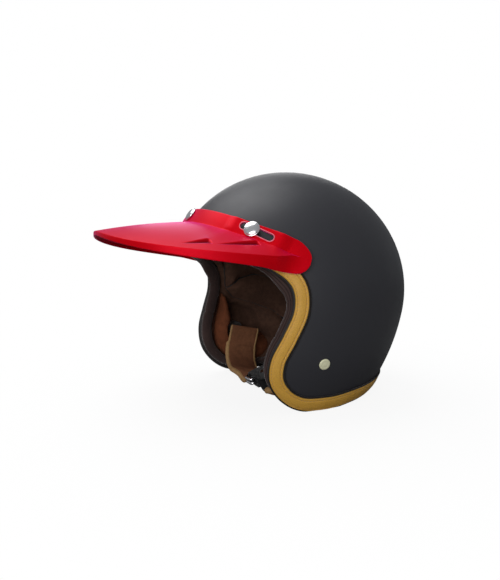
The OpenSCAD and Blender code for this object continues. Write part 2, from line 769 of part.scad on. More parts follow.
module slot_cutter() {
    n = side_normal;
    turn = atan2(slot_dir * cross([0, 0, 1], n), slot_dir * cross(cross([0, 0, 1], n), n));
    translate(skin(dir(side_snap_dir), -2))
        for (s = [0, 1])
            translate(slot_dir * (s == 0 ? slot_ahead - slot_w / 2 : slot_w / 2 - slot_behind))
                rotate([0, acos(n.z), atan2(n.y, n.x)])
                    cylinder(d = slot_w, h = 14, $fn = fine);
    translate(skin(dir(side_snap_dir), -2))
        multmatrix([
            [slot_dir.x, cross(n, slot_dir).x, n.x, 0],
            [slot_dir.y, cross(n, slot_dir).y, n.y, 0],
            [slot_dir.z, cross(n, slot_dir).z, n.z, 0]
        ])
            translate([slot_w / 2 - slot_behind, -slot_w / 2, 0])
                cube([slot_ahead + slot_behind - slot_w, slot_w, 14]);
}

module visor_peak() {
    rings = [for (a = peak_azimuths) peak_section(a)];
    color([0.78, 0.02, 0.08])
        difference() {
            loft(rings, [mean_of(rings[0]), mean_of(rings[len(rings) - 1])]);
            slot_cutter();
            mirror([1, 0, 0]) slot_cutter();
            on_face(centre_snap_dir) cylinder(r = post_r + 0.1, h = 14, $fn = fine);
        }
}

outer_shell();
edge_trim();
edge_welt();
trim_piping();
edge_roll();
impact_liner();
crown_pad();
brow_pad();
nape_roll();
cheek_pad_left();
cheek_pad_right();
strap_anchor_left();
strap_anchor_right();
strap_rivet_left();
strap_rivet_right();
strap_hanger_left();
strap_hanger_right();
ring_strap();
long_strap();
strap_sleeve_left();
strap_sleeve_right();
keeper_snap();
d_ring_inner();
d_ring_outer();
visor_peak();
snap_cap_left();
snap_cap_centre();
snap_cap_right();
snap_socket_left();
snap_socket_centre();
snap_socket_right();
snap_stud_left();
snap_stud_centre();
snap_stud_right();
stud_washers();
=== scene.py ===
import math

import bmesh
import bpy
import numpy as np
from mathutils import Matrix, Vector


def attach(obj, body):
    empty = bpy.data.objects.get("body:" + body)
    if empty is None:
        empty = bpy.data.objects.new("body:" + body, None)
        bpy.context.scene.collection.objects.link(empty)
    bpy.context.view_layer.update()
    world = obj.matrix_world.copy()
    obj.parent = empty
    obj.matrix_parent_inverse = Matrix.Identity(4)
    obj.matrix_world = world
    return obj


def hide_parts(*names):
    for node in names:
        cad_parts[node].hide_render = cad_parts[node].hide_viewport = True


# Looks of an open-face helmet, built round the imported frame. Metres; +Z is up,
# the face looks along -Y, and the wearer's left is +X.
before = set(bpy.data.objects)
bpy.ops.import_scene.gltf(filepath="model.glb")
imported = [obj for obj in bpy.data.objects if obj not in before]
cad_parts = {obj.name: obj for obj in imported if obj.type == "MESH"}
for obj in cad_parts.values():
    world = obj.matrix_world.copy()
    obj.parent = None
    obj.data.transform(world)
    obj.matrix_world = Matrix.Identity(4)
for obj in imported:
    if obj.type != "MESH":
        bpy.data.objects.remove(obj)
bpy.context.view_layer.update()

MM = 0.001

# ---- the shell's surface ------------------------------------------------------
# A direction is a unit vector from the shell's middle. skin() gives the point of
# the shell's outside face along it, moved out along the face's normal.

HALF_W, HALF_L, CROWN_H, SKIRT_REACH = 0.120, 0.1285, 0.1235, 0.172
PITCH = math.radians(13.9)
MIDDLE = np.array([0.0, 0.0, 0.1095])


def unit(v):
    return v / np.linalg.norm(v, axis=-1, keepdims=True)


def direction(azimuth, elevation):
    az, el = np.broadcast_arrays(np.radians(azimuth), np.radians(elevation))
    return np.stack([np.sin(az) * np.cos(el), -np.cos(az) * np.cos(el), np.sin(el)], -1)


def tilt(v, sign):
    c, s = math.cos(PITCH), sign * math.sin(PITCH)
    return np.stack([v[..., 0], c * v[..., 1] - s * v[..., 2], s * v[..., 1] + c * v[..., 2]], -1)


def over(q, power):
    reach = np.where(q[..., 2] > 0, CROWN_H, SKIRT_REACH)
    return np.stack([q[..., 0] / HALF_W**power, q[..., 1] / HALF_L**power, q[..., 2] / reach**power], -1)


def face(d):
    return d / np.linalg.norm(over(tilt(d, 1), 1), axis=-1, keepdims=True)


def normal(d):
    return unit(tilt(over(tilt(d, 1), 2), -1))


def skin(d, h=0.0):
    return MIDDLE + face(d) + np.asarray(h)[..., None] * normal(d)


def ease(t):
    u = np.clip(t, 0, 1)
    return u * u * (3 - 2 * u)


def lerp(a, b, t):
    return a + (b - a) * t


def slerp(a, b, t):
    w = np.arccos(np.clip((a * b).sum(-1, keepdims=True), -1, 1))
    return (np.sin((1 - t) * w) * a + np.sin(t * w) * b) / np.sin(w)


def mirrored(points):
    return points * np.array([-1.0, 1.0, 1.0])


# ---- smooth loops ---------------------------------------------------------------

def smooth_loop(points, sub, on_sphere=True):
    """Closed Catmull-Rom loop through points, sub stations to an interval."""
    p = np.asarray(points, float)
    p0, p1, p2, p3 = np.roll(p, 1, 0), p, np.roll(p, -1, 0), np.roll(p, -2, 0)
    t = (np.arange(sub) / sub)[None, :, None]
    p0, p1, p2, p3 = (q[:, None, :] for q in (p0, p1, p2, p3))
    out = (2 * p1 + (p2 - p0) * t + (2 * p0 - 5 * p1 + 4 * p2 - p3) * t**2
           + (3 * p1 - p0 - 3 * p2 + p3) * t**3) / 2
    out = out.reshape(-1, p.shape[1])
    return unit(out) if on_sphere else out


def both_sides(half):
    d = direction([h[0] for h in half], [h[1] for h in half])
    return np.concatenate([d, mirrored(d[-2:0:-1])])


RIM_HALF = [
    (0, 22), (22, 20.3), (40, 16.5), (54.3, 12), (63.1, 5.4), (64.4, -3.8), (60.2, -14.1), (54.9, -24),
    (53.5, -33.3), (57.9, -41.5), (68.2, -48), (84.9, -50.6), (106.4, -50.3), (130.3, -49.4),
    (155.2, -48.5), (180, -48),
]
RIM_SUB = 16
rim = smooth_loop(both_sides(RIM_HALF), RIM_SUB)
rim_face = face(rim)
rim_along = np.roll(rim_face, -1, 0) - np.roll(rim_face, 1, 0)
rim_across = unit(np.cross(normal(rim), rim_along))
_station = np.arange(len(rim)) / RIM_SUB
_last = len(RIM_HALF) - 1
rim_station = np.where(_station > _last, 2 * _last - _station, _station)
BAND_FACE, BAND_LOW = 14.5 * MM, 17.5 * MM
band_w = lerp(BAND_FACE, BAND_LOW, ease((rim_station - 9) / 2))


def rim_in(w):
    return unit(rim_face + np.asarray(w)[..., None] * rim_across)


def edge_point(w, h):
    p = skin(rim_in(np.broadcast_to(w, len(rim))), np.broadcast_to(h, len(rim)))
    p[:, 2] = np.maximum(p[:, 2], 0.0)
    return p


# ---- mesh building ----------------------------------------------------------------

def make(name, verts, faces, uvs=None, outward=True):
    mesh = bpy.data.meshes.new(name)
    mesh.from_pydata(np.asarray(verts, float).tolist(), [], faces)
    if uvs is not None:
        layer = mesh.uv_layers.new(name="UVMap")
        layer.data.foreach_set("uv", np.asarray(uvs, np.float32).ravel())
    if outward:
        bm = bmesh.new()
        bm.from_mesh(mesh)
        bmesh.ops.recalc_face_normals(bm, faces=bm.faces)
        bm.to_mesh(mesh)
        bm.free()
    mesh.shade_smooth()
    obj = bpy.data.objects.new(name, mesh)
    bpy.context.scene.collection.objects.link(obj)
    return obj


def lengths(points, closed):
    steps = np.linalg.norm(np.diff(points, axis=0), axis=1)
    if closed:
        steps = np.append(steps, np.linalg.norm(points[0] - points[-1]))
    return np.concatenate([[0], np.cumsum(steps)])


def evenly(points, step):
    s = lengths(points, False)
    x = np.linspace(0, s[-1], max(2, int(round(s[-1] / step)) + 1))
    return np.stack([np.interp(x, s, points[:, k]) for k in range(3)], -1)


def soften(points, times=3):
    p = points.copy()
    for _ in range(times):
        p[1:-1] = 0.25 * p[:-2] + 0.5 * p[1:-1] + 0.25 * p[2:]
    return p


def sheet(name, grid, closed_rows=False, closed_cols=False, tips=None, outward=True):
    """Surface through grid[row][column]; tips close the first and the last row."""
    m, n = grid.shape[:2]
    verts = grid.reshape(-1, 3)
    rows = m if closed_rows else m - 1
    cols = n if closed_cols else n - 1
    j, i = np.meshgrid(np.arange(rows), np.arange(cols), indexing="ij")
    quads = np.stack([j * n + i, j * n + (i + 1) % n, (j + 1) % m * n + (i + 1) % n, (j + 1) % m * n + i], -1)
    faces = quads.reshape(-1, 4).tolist()
    u = lengths(grid[:, 0], closed_rows)
    v = lengths(grid[m // 2], closed_cols)
    uv = np.stack([
        np.stack([u[j], v[i]], -1), np.stack([u[j], v[i + 1]], -1),
        np.stack([u[j + 1], v[i + 1]], -1), np.stack([u[j + 1], v[i]], -1),
    ], -2).reshape(-1, 2)
    if tips is not None:
        verts = np.concatenate([verts, np.asarray(tips)])
        extra = []
        for k, row, where in ((0, 0, u[0]), (1, m - 1, u[-1])):
            for c in range(n):
                faces.append([m * n + k, row * n + (c + 1) % n, row * n + c])
                extra += [(where, 0), (where, v[(c + 1) % len(v)]), (where, v[c])]
        uv = np.concatenate([uv, np.array(extra)])
    return make(name, verts, faces, uv, outward)


def dome(name, loop, crown, outer, inner, rows, spread=1.25):
    """Closed curved layer inside a loop of directions, between two offset functions."""
    t = (np.arange(rows) / rows) ** spread
    d = np.stack([slerp(loop, crown, k) for k in t])
    grid = np.concatenate([skin(d, outer(d))[::-1], skin(d, inner(d))])
    tips = [skin(crown, outer(crown[None])[0]), skin(crown, inner(crown[None])[0])]
    return sheet(name, grid, closed_cols=True, tips=tips)


def chaikin(points, times):
    p = np.asarray(points, float)
    for _ in range(times):
        q = np.roll(p, -1, 0)
        p = np.stack([0.75 * p + 0.25 * q, 0.25 * p + 0.75 * q], 1).reshape(-1, p.shape[1])
    return p


def edge_sweep(name, profile):
    """profile is a closed list of (w0, k, h): the point sits w0 + k * band width in."""
    grid = np.stack([edge_point(w0 + k * band_w, h) for w0, k, h in profile], 1)
    return sheet(name, grid, closed_rows=True, closed_cols=True)


def frames_along(path, closed):
    if closed:
        along = np.roll(path, -1, 0) - np.roll(path, 1, 0)
    else:
        along = np.gradient(path, axis=0)
    return unit(along)


def tube(name, path, radius, ups, sides=12, closed=False):
    """Round cord along a path; ups gives a direction across it at each point."""
    along = frames_along(path, closed)
    side = unit(np.cross(along, ups))
    up = np.cross(side, along)
    a = np.linspace(0, 2 * math.pi, sides, endpoint=False)
    r = np.broadcast_to(radius, len(path))[:, None, None]
    ring = np.cos(a)[None, :, None] * side[:, None] + np.sin(a)[None, :, None] * up[:, None]
    grid = path[:, None] + r * ring
    tips = None if closed else [path[0], path[-1]]
    return sheet(name, grid, closed_rows=closed, closed_cols=True, tips=tips)


def stitches(name, path, ups, pitch, length, radius, closed=True):
    """Row of separate thread stitches lying along a path, ends tucked down."""
    s = lengths(path, closed)
    p = np.concatenate([path, path[:1]]) if closed else path
    n = np.concatenate([ups, ups[:1]]) if closed else ups
    count = int(s[-1] / pitch)
    at = (np.arange(count) + 0.5) * s[-1] / count

    def on(x, table):
        return np.stack([np.interp(x, s, table[:, k]) for k in range(3)], -1)

    sides, rings = 6, 5
    t = np.linspace(-1, 1, rings)
    thick = radius * np.sqrt(np.clip(1.02 - t**4, 0.05, 1))
    a = np.linspace(0, 2 * math.pi, sides, endpoint=False)
    x = at[:, None] + t[None] * length / 2
    centre = on(np.clip(x, 0, s[-1]), p)
    up = unit(on(at, n))[:, None]
    along = unit(centre[:, -1] - centre[:, 0])[:, None]
    side = np.cross(along, up)
    centre = centre - up * (radius * 1.1 * t**4)[None, :, None]
    ring = np.cos(a)[None, None, :, None] * side[:, :, None] + np.sin(a)[None, None, :, None] * up[:, :, None]
    grid = centre[:, :, None] + thick[None, :, None, None] * ring
    faces, per = [], sides * rings
    for c in range(count):
        base = c * per
        for j in range(rings - 1):
            for i in range(sides):
                k = (i + 1) % sides
                faces.append([base + j * sides + i, base + j * sides + k,
                              base + (j + 1) * sides + k, base + (j + 1) * sides + i])
        faces.append([base + i for i in range(sides)][::-1])
        faces.append([base + (rings - 1) * sides + i for i in range(sides)])
    return make(name, grid.reshape(-1, 3), faces, outward=False)


def lathe(name, d, profile, flip=False, sides=64):
    """Turned piece standing on the shell at a direction; profile is (radius, height)."""
    n = normal(d)
    o = skin(d)
    x = unit(np.cross([0, 0, 1.0], n))
    y = np.cross(n, x)
    a = np.linspace(0, 2 * math.pi, sides, endpoint=False)
    r = np.array([q[0] for q in profile])[:, None, None]
    z = np.array([q[1] for q in profile])[:, None, None]
    grid = o + r * (np.cos(a)[None, :, None] * x + np.sin(a)[None, :, None] * y) + z * n
    if flip:
        grid = mirrored(grid)
    return sheet(name, grid, closed_cols=True, tips=[grid[0].mean(0), grid[-1].mean(0)])


def rounded(profile, times=2, keep_ends=True):
    """Open profile with its inner corners rounded."""
    p = np.asarray(profile, float)
    for _ in range(times):
        q = np.stack([0.75 * p[:-1] + 0.25 * p[1:], 0.25 * p[:-1] + 0.75 * p[1:]], 1).reshape(-1, p.shape[1])
        p = np.concatenate([p[:1], q, p[-1:]])
    return p


# ---- materials ----------------------------------------------------------------------

def srgb(r, g, b):
    out = []
    for c in (r, g, b):
        c /= 255
        out.append(c / 12.92 if c <= 0.04045 else ((c + 0.055) / 1.055) ** 2.4)
    return (*out, 1.0)


class Graph:
    """Builds one node material; a socket or a plain value can feed any input."""

    def __init__(self, name):
        self.material = bpy.data.materials.new(name)
        self.material.use_nodes = True
        self.tree = self.material.node_tree
        self.tree.nodes.clear()

    def add(self, kind, inputs=None, **settings):
        node = self.tree.nodes.new("ShaderNode" + kind)
        for key, value in settings.items():
            setattr(node, key, value)
        for key, value in (inputs or {}).items():
            if isinstance(value, bpy.types.NodeSocket):
                self.tree.links.new(value, node.inputs[key])
            else:
                node.inputs[key].default_value = value
        return node

    def place(self):
        return self.add("TexCoord").outputs["Object"]

    def uv(self):
        return self.add("TexCoord").outputs["UV"]

    def math(self, operation, a, b=0.0):
        return self.add("Math", {0: a, 1: b}, operation=operation).outputs[0]

    def noise(self, where, scale, detail=3.0, roughness=0.5):
        node = self.add("TexNoise", {"Vector": where, "Scale": scale, "Detail": detail, "Roughness": roughness})
        return node.outputs[0]

    def cells(self, where, scale, feature="F1", randomness=1.0):
        node = self.add("TexVoronoi", {"Vector": where, "Scale": scale, "Randomness": randomness}, feature=feature)
        return node.outputs["Distance"]

    def spread(self, value, low, high, to_low, to_high):
        node = self.add("MapRange", {0: value, 1: low, 2: high, 3: to_low, 4: to_high})
        return node.outputs[0]

    def blend(self, share, a, b):
        node = self.add("Mix", {0: share, 6: a, 7: b}, data_type="RGBA")
        return node.outputs[2]

    def bump(self, height, distance, strength=1.0, under=None):
        inputs = {"Height": height, "Distance": distance, "Strength": strength}
        if under is not None:
            inputs["Normal"] = under
        return self.add("Bump", inputs).outputs[0]

    def finish(self, **inputs):
        named = {key.replace("_", " "): value for key, value in inputs.items()}
        shader = self.add("BsdfPrincipled", named)
        out = self.add("OutputMaterial")
        self.tree.links.new(shader.outputs[0], out.inputs[0])
        return self.material


def shell_paint():
    g = Graph("shell_paint")
    at = g.place()
    broad = g.noise(at, 9.0, 2.0)
    fine = g.noise(at, 1500.0, 2.0, 0.6)
    peel = g.noise(at, 240.0, 2.0)
    colour = g.blend(broad, srgb(43, 43, 48), srgb(50, 50, 55))
    colour = g.blend(g.math("MULTIPLY", fine, 0.3), colour, srgb(60, 60, 64))
    rough = g.spread(g.noise(at, 30.0, 4.0), 0.3, 0.7, 0.46, 0.54)
    bump = g.bump(fine, 0.00005, 0.5, g.bump(peel, 0.00012, 0.35))
    return g.finish(Base_Color=colour, Roughness=rough, Normal=bump, Specular_IOR_Level=0.45)


def leather(name, dark, light, grain=1.0):
    g = Graph(name)
    at = g.place()
    warped = g.add("Mix", {0: 0.0006, 4: at, 5: g.add("TexNoise", {"Vector": at, "Scale": 260.0}).outputs[1]},
                   data_type="VECTOR").outputs[1]
    pebble = g.cells(warped, 1150.0)
    crease = g.spread(g.cells(warped, 700.0, "DISTANCE_TO_EDGE"), 0.0, 0.12, 0.0, 1.0)
    wrinkle = g.noise(at, 170.0, 5.0, 0.62)
    mottle = g.noise(at, 26.0, 4.0, 0.6)
    colour = g.blend(mottle, dark, light)
    shade = tuple(c * 0.55 for c in dark[:3]) + (1.0,)
    colour = g.blend(g.math("MULTIPLY", g.math("SUBTRACT", 1.0, crease), 0.35 * grain), colour, shade)
    rough = g.spread(g.noise(at, 90.0, 3.0), 0.3, 0.7, 0.40, 0.58)
    bump = g.bump(wrinkle, 0.0009 * grain, 0.5)
    bump = g.bump(pebble, 0.0004 * grain, 0.35, bump)
    bump = g.bump(crease, 0.00025 * grain, 0.4, bump)
    return g.finish(Base_Color=colour, Roughness=rough, Normal=bump, Specular_IOR_Level=0.45,
                    Coat_Weight=0.08, Coat_Roughness=0.35)


def brushed_cloth(name, dark, light, sheen, scale=1.0):
    """Short-napped suede cloth: a fine knit under a soft directional nap."""
    g = Graph(name)
    at = g.place()
    nap = g.noise(at, 1300.0 * scale, 3.0, 0.65)
    clump = g.noise(at, 190.0 * scale, 4.0, 0.6)
    broad = g.noise(at, 22.0, 3.0, 0.55)
    colour = g.blend(g.spread(broad, 0.35, 0.65, 0.0, 1.0), dark, light)
    worn = tuple(min(1.0, c * 1.35) for c in light[:3]) + (1.0,)
    colour = g.blend(g.spread(nap, 0.45, 0.75, 0.0, 0.45), colour, worn)
    colour = g.blend(g.spread(clump, 0.35, 0.6, 0.35, 0.0), colour, tuple(c * 0.5 for c in dark[:3]) + (1.0,))
    bump = g.bump(clump, 0.0006, 0.4)
    bump = g.bump(nap, 0.0003, 0.7, bump)
    return g.finish(Base_Color=colour, Roughness=0.92, Normal=bump, Specular_IOR_Level=0.15,
                    Sheen_Weight=sheen, Sheen_Roughness=0.45, Sheen_Tint=worn)


def woven(name, dark, light, pitch_u, pitch_v, depth=0.0004):
    """Plain weave laid out along the piece's own length and width."""
    g = Graph(name)
    uv = g.add("SeparateXYZ", {0: g.uv()})
    u = g.math("DIVIDE", uv.outputs[0], pitch_u)
    v = g.math("DIVIDE", uv.outputs[1], pitch_v)
    over_u = g.math("ABSOLUTE", g.math("SINE", g.math("MULTIPLY", u, math.pi)))
    over_v = g.math("ABSOLUTE", g.math("SINE", g.math("MULTIPLY", v, math.pi)))
    cell = g.math("ADD", g.math("FLOOR", u), g.math("FLOOR", v))
    odd = g.math("ABSOLUTE", g.math("MODULO", cell, 2.0))
    warp = g.math("MULTIPLY", g.math("MULTIPLY", odd, over_u), g.math("SQRT", over_v))
    weft = g.math("MULTIPLY", g.math("MULTIPLY", g.math("SUBTRACT", 1.0, odd), over_v), g.math("SQRT", over_u))
    height = g.math("ADD", warp, weft)
    fibre = g.noise(g.place(), 2600.0, 2.0)
    colour = g.blend(g.math("MULTIPLY", height, g.spread(fibre, 0.3, 0.7, 0.5, 1.0)), dark, light)
    bump = g.bump(height, depth, 0.8)
    bump = g.bump(fibre, depth * 0.3, 0.4, bump)
    return g.finish(Base_Color=colour, Roughness=0.78, Normal=bump, Specular_IOR_Level=0.3,
                    Sheen_Weight=0.15, Sheen_Roughness=0.4)


def knit(name, dark, light):
    """Fine ribbed knit, laid out along the piece's own length."""
    g = Graph(name)
    uv = g.add("SeparateXYZ", {0: g.uv()})
    rib = g.math("ABSOLUTE", g.math("SINE", g.math("MULTIPLY", uv.outputs[1], math.pi / 0.0011)))
    shifted = g.math("ADD", uv.outputs[0], g.math("MULTIPLY", rib, 0.0004))
    loop = g.math("ABSOLUTE", g.math("SINE", g.math("MULTIPLY", shifted, math.pi / 0.0009)))
    height = g.math("MULTIPLY", rib, g.spread(loop, 0.0, 1.0, 0.5, 1.0))
    at = g.place()
    fluff = g.noise(at, 1600.0, 3.0)
    broad = g.noise(at, 30.0, 3.0)
    colour = g.blend(g.math("MULTIPLY", height, g.spread(broad, 0.3, 0.7, 0.55, 1.0)), dark, light)
    bump = g.bump(g.math("ADD", height, g.math("MULTIPLY", fluff, 0.5)), 0.0003, 0.8)
    return g.finish(Base_Color=colour, Roughness=0.88, Normal=bump, Specular_IOR_Level=0.2,
                    Sheen_Weight=0.3, Sheen_Roughness=0.4)


def bead_foam():
    g = Graph("foam")
    at = g.place()
    bead = g.cells(at, 330.0)
    edge = g.spread(g.cells(at, 330.0, "DISTANCE_TO_EDGE"), 0.0, 0.1, 0.0, 1.0)
    colour = g.blend(edge, srgb(14, 14, 15), srgb(34, 34, 36))
    bump = g.bump(bead, -0.0006, 0.5)
    return g.finish(Base_Color=colour, Roughness=0.75, Normal=bump, Specular_IOR_Level=0.3)


def metal(name, colour, rough_low, rough_high, grain=0.3, metallic=1.0):
    g = Graph(name)
    at = g.place()
    smear = g.noise(at, 180.0, 4.0, 0.6)
    scratch = g.noise(g.add("Mapping", {"Vector": at, "Scale": (1.0, 9.0, 1.0)}).outputs[0], 900.0, 2.0)
    rough = g.spread(smear, 0.3, 0.7, rough_low, rough_high)
    tone = g.blend(g.spread(smear, 0.35, 0.7, 0.0, 0.35), colour, tuple(c * 0.8 for c in colour[:3]) + (1.0,))
    bump = g.bump(scratch, 0.00004, grain)
    return g.finish(Base_Color=tone, Metallic=metallic, Roughness=rough, Normal=bump)


def gloss_plastic():
    g = Graph("peak_plastic")
    at = g.place()
    broad = g.noise(at, 14.0, 2.0)
    peel = g.noise(at, 120.0, 2.0)
    colour = g.blend(broad, srgb(206, 0, 8), srgb(216, 2, 16))
    # Painted shade: inside the moulded scoops the red is darkened towards a deep red, where shade falls in them.
    scoop_shade = g.add("Attribute", attribute_name="scoop_shade").outputs["Fac"]
    colour = g.blend(scoop_shade, colour, srgb(84, 0, 3))
    forward = g.add("SeparateXYZ", {0: at}).outputs[1]
    sheen = g.spread(forward, -0.19, -0.12, 0.3, 1.0)
    rough = g.spread(g.noise(at, 22.0, 1.0), 0.0, 1.0, 0.34, 0.42)
    bump = g.bump(peel, 0.0001, 0.08)
    return g.finish(Base_Color=colour, Roughness=rough, Normal=bump, Metallic=0.2, Specular_IOR_Level=0.14,
                    Specular_Tint=(1.0, 0.3, 0.75, 1.0), Sheen_Weight=sheen, Sheen_Roughness=0.3,
                    Sheen_Tint=(1.0, 0.06, 0.62, 1.0))


def thread(name, colour):
    g = Graph(name)
    at = g.place()
    ply = g.noise(at, 1900.0, 2.0)
    tone = g.blend(ply, tuple(c * 0.7 for c in colour[:3]) + (1.0,), colour)
    return g.finish(Base_Color=tone, Roughness=0.65, Normal=g.bump(ply, 0.0002, 0.7), Sheen_Weight=0.2)


LOOKS = {
    "shell_paint": shell_paint(),
    "leather": leather("leather", srgb(214, 158, 54), srgb(236, 184, 82)),
    "welt": leather("welt", srgb(32, 28, 27), srgb(46, 41, 39), 0.6),
    "dark_piping": woven("dark_piping", srgb(16, 12, 10), srgb(44, 35, 29), 0.0009, 0.0007, 0.0003),
    "lining_edge": knit("lining_edge", srgb(40, 30, 29), srgb(88, 68, 64)),
    "foam": bead_foam(),
    "lining": brushed_cloth("lining", srgb(66, 46, 37), srgb(92, 66, 53), 0.3),
    "cheek_fabric": brushed_cloth("cheek_fabric", srgb(96, 54, 34), srgb(122, 70, 45), 0.3),
    "steel": metal("steel", (0.62, 0.62, 0.64, 1.0), 0.25, 0.4),
    "rivet_metal": metal("rivet_metal", srgb(244, 242, 204), 0.4, 0.52, metallic=0.15),
    "webbing": woven("webbing", srgb(5, 5, 6), srgb(34, 34, 37), 0.0016, 0.0011),
    "sleeve_fabric": brushed_cloth("sleeve_fabric", srgb(104, 66, 46), srgb(132, 88, 62), 0.35),
    "peak_plastic": gloss_plastic(),
    "chrome": metal("chrome", (0.9, 0.9, 0.92, 1.0), 0.18, 0.26, 0.12),
}
THREAD_LIGHT = thread("thread_light", srgb(214, 166, 92))
HEM_CLOTH = brushed_cloth("hem_cloth", srgb(150, 116, 78), srgb(178, 142, 98), 0.35)
# Painted highlight: the slot beads are pale pink, lighter than the red peak they are moulded in, standing in for light
# caught on the slots' edges.
BEAD_PAINTED_HIGHLIGHT = metal("bead_painted_highlight", srgb(236, 120, 140), 0.3, 0.4, metallic=0.1)
THREAD_DARK = thread("thread_dark", srgb(24, 17, 14))


def dress(obj, body, slot, *nodes, look=None):
    """Gives a piece its finish, its body, and the CAD nodes it stands for."""
    obj.data.materials.clear()
    obj.data.materials.append(look or LOOKS[slot])
    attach(obj, body)
    if nodes:
        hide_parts(*nodes)
    return obj


# ---- shell and edge -----------------------------------------------------------------

SHELL_WALL = 3.5 * MM
CROWN = direction(180, 40)


def level(h):
    return lambda d: np.full(d.shape[:-1], h)


shell = dome("helmet_shell", rim_in(np.full(len(rim), 2.8 * MM)), CROWN, level(0), level(-SHELL_WALL), 44)
dress(shell, "shell", "shell_paint", "outer_shell")

# Leather band: a crowned strip outside the shell with a sewn groove near each edge.
LEATHER_PROFILE = [
    (0, 1, 0.3), (0.05, 1, 1.3), (-0.5, 1, 2.0), (-1.5, 1, 2.15), (-2.1, 1, 1.75), (-2.6, 1, 1.8), (-3.2, 1, 2.3),
    (-6.0, 1, 2.6), (7.0, 0, 2.6), (4.9, 0, 2.3), (4.4, 0, 1.85), (3.9, 0, 1.85), (3.3, 0, 2.2), (2.5, 0, 1.8),
    (2.1, 0, 1.0), (2.1, 0, 0.3),
]
profile = chaikin([(a * MM, k, h * MM) for a, k, h in LEATHER_PROFILE], 2)
dress(edge_sweep("leather_band", profile), "shell", "leather", "edge_trim")
for name, path in (
    ("leather_stitches_outer", edge_point(band_w - 2.35 * MM, 1.95 * MM)),
    ("leather_stitches_inner", edge_point(4.15 * MM, 1.95 * MM)),
):
    dress(stitches(name, path, normal(rim), 3.2 * MM, 2.3 * MM, 0.34 * MM), "shell", "leather", look=THREAD_LIGHT)

# Welt: a dark wrap round the shell's cut edge, from the leather to the edge roll.
WELT_PROFILE = [
    (1.95, 0.3), (2.1, 1.5), (1.5, 1.9), (0.6, 1.3), (0, 0), (0, -1.8), (0.4, -3.6), (1.2, -5.0), (3.0, -5.5),
    (8, -5.6), (8, -4.3), (2.6, -4.3), (2.6, 0.3),
]
welt_profile = chaikin([(w * MM, 0, h * MM) for w, h in WELT_PROFILE], 2)
dress(edge_sweep("edge_wrap", welt_profile), "shell", "welt", "edge_welt")

cord = edge_point(band_w + 1.2 * MM, 1.1 * MM)
dress(tube("piping_cord", cord, 0.9 * MM, normal(rim), closed=True), "shell", "dark_piping", "trim_piping")

ROLL_TOP = -6.2
ROLL = [(8.5, ROLL_TOP), (1.6, ROLL_TOP), (0.4, ROLL_TOP - 2.6), (0.9, ROLL_TOP - 6.4), (3.2, ROLL_TOP - 9.9),
        (6.6, ROLL_TOP - 9.9), (8.9, ROLL_TOP - 6.5)]
roll_profile = chaikin([(w * MM, h * MM) for w, h in ROLL], 2)
roll_middle = roll_profile.mean(0)
rim_length = lengths(rim_face, True)[:-1]
gather = 1 + 0.035 * np.sin(rim_length / 0.0043) * np.sin(rim_length / 0.031 + 1.0)
seam_stations = [2.6, 4.75, 6.3, 9.7, 13.0]
for s in seam_stations:
    gather -= 0.22 * np.exp(-((rim_station - s) / 0.05) ** 2)
bulge = 5.0 * MM * ease((rim_station - 1.5) / 2.5) * ease((10.5 - rim_station) / 2.5)
bulge = bulge + 5.0 * MM * np.exp(-((rim_station - 3.8) / 0.9) ** 2)
grid = np.stack([
    edge_point(roll_middle[0] + (w - roll_middle[0]) * gather - bulge * np.clip((6 * MM - w) / (6 * MM), 0, 1), roll_middle[1] + (h - roll_middle[1]) * gather)
    for w, h in roll_profile
], 1)
dress(sheet("padded_edge_roll", grid, closed_rows=True, closed_cols=True), "shell", "lining_edge", "edge_roll")

# ---- lining ---------------------------------------------------------------------------

LINER_OUT, LINER_WALL, LAYER_GAP = -4.4 * MM, 20 * MM, 0.9 * MM
LINER_HALF = [
    (0, 33), (24, 31), (42, 26.5), (57, 19), (68, 9), (76, -1), (93, -5), (109, -14), (114, -26),
    (127, -33.5), (150, -36), (180, -36.5),
]
CROWN_PAD_HALF = [
    (0, 35), (24, 33), (42, 28.5), (58, 20.5), (70, 11), (80, 2), (95, -1.5), (107, -10), (112, -23),
    (126, -31), (150, -33.8), (180, -34.3),
]
liner_loop = smooth_loop(both_sides(LINER_HALF), 8)
dress(dome("foam_liner", liner_loop, CROWN, level(LINER_OUT), level(LINER_OUT - LINER_WALL), 20),
      "shell", "foam", "impact_liner")

PAD_OUT = LINER_OUT - LINER_WALL - LAYER_GAP
PAD_WALL = 6 * MM
SEAM_WIDTH = 0.045

# Polar coordinates about the crown direction, used to place the lining's slope
# between the shell's edge and the foam's edge.
_crown_x = np.array([1.0, 0.0, 0.0])
_crown_y = np.cross(CROWN, _crown_x)


def around(d):
    return np.arctan2(d @ _crown_y, d @ _crown_x)


def away(d):
    return np.arccos(np.clip(d @ CROWN, -1, 1))


def edge_distance(loop):
    turn, reach = around(loop), away(loop)
    order = np.argsort(turn)
    return lambda d: np.interp(around(d), turn[order], reach[order], period=2 * math.pi)


rim_reach, foam_reach = edge_distance(rim), edge_distance(liner_loop)


# Seams of the lining on the wearer's left, as [azimuth, elevation] points.
SIDE_SEAMS = [
    [(50, 34), (61, 20), (70, 4), (72, -4), (80, 2), (92, 5), (118, 0)],
    [(72, -4), (78, -10), (91, -14), (107, -20), (118, -28)],
    [(61, 20), (80, 25), (100, 30)],
]


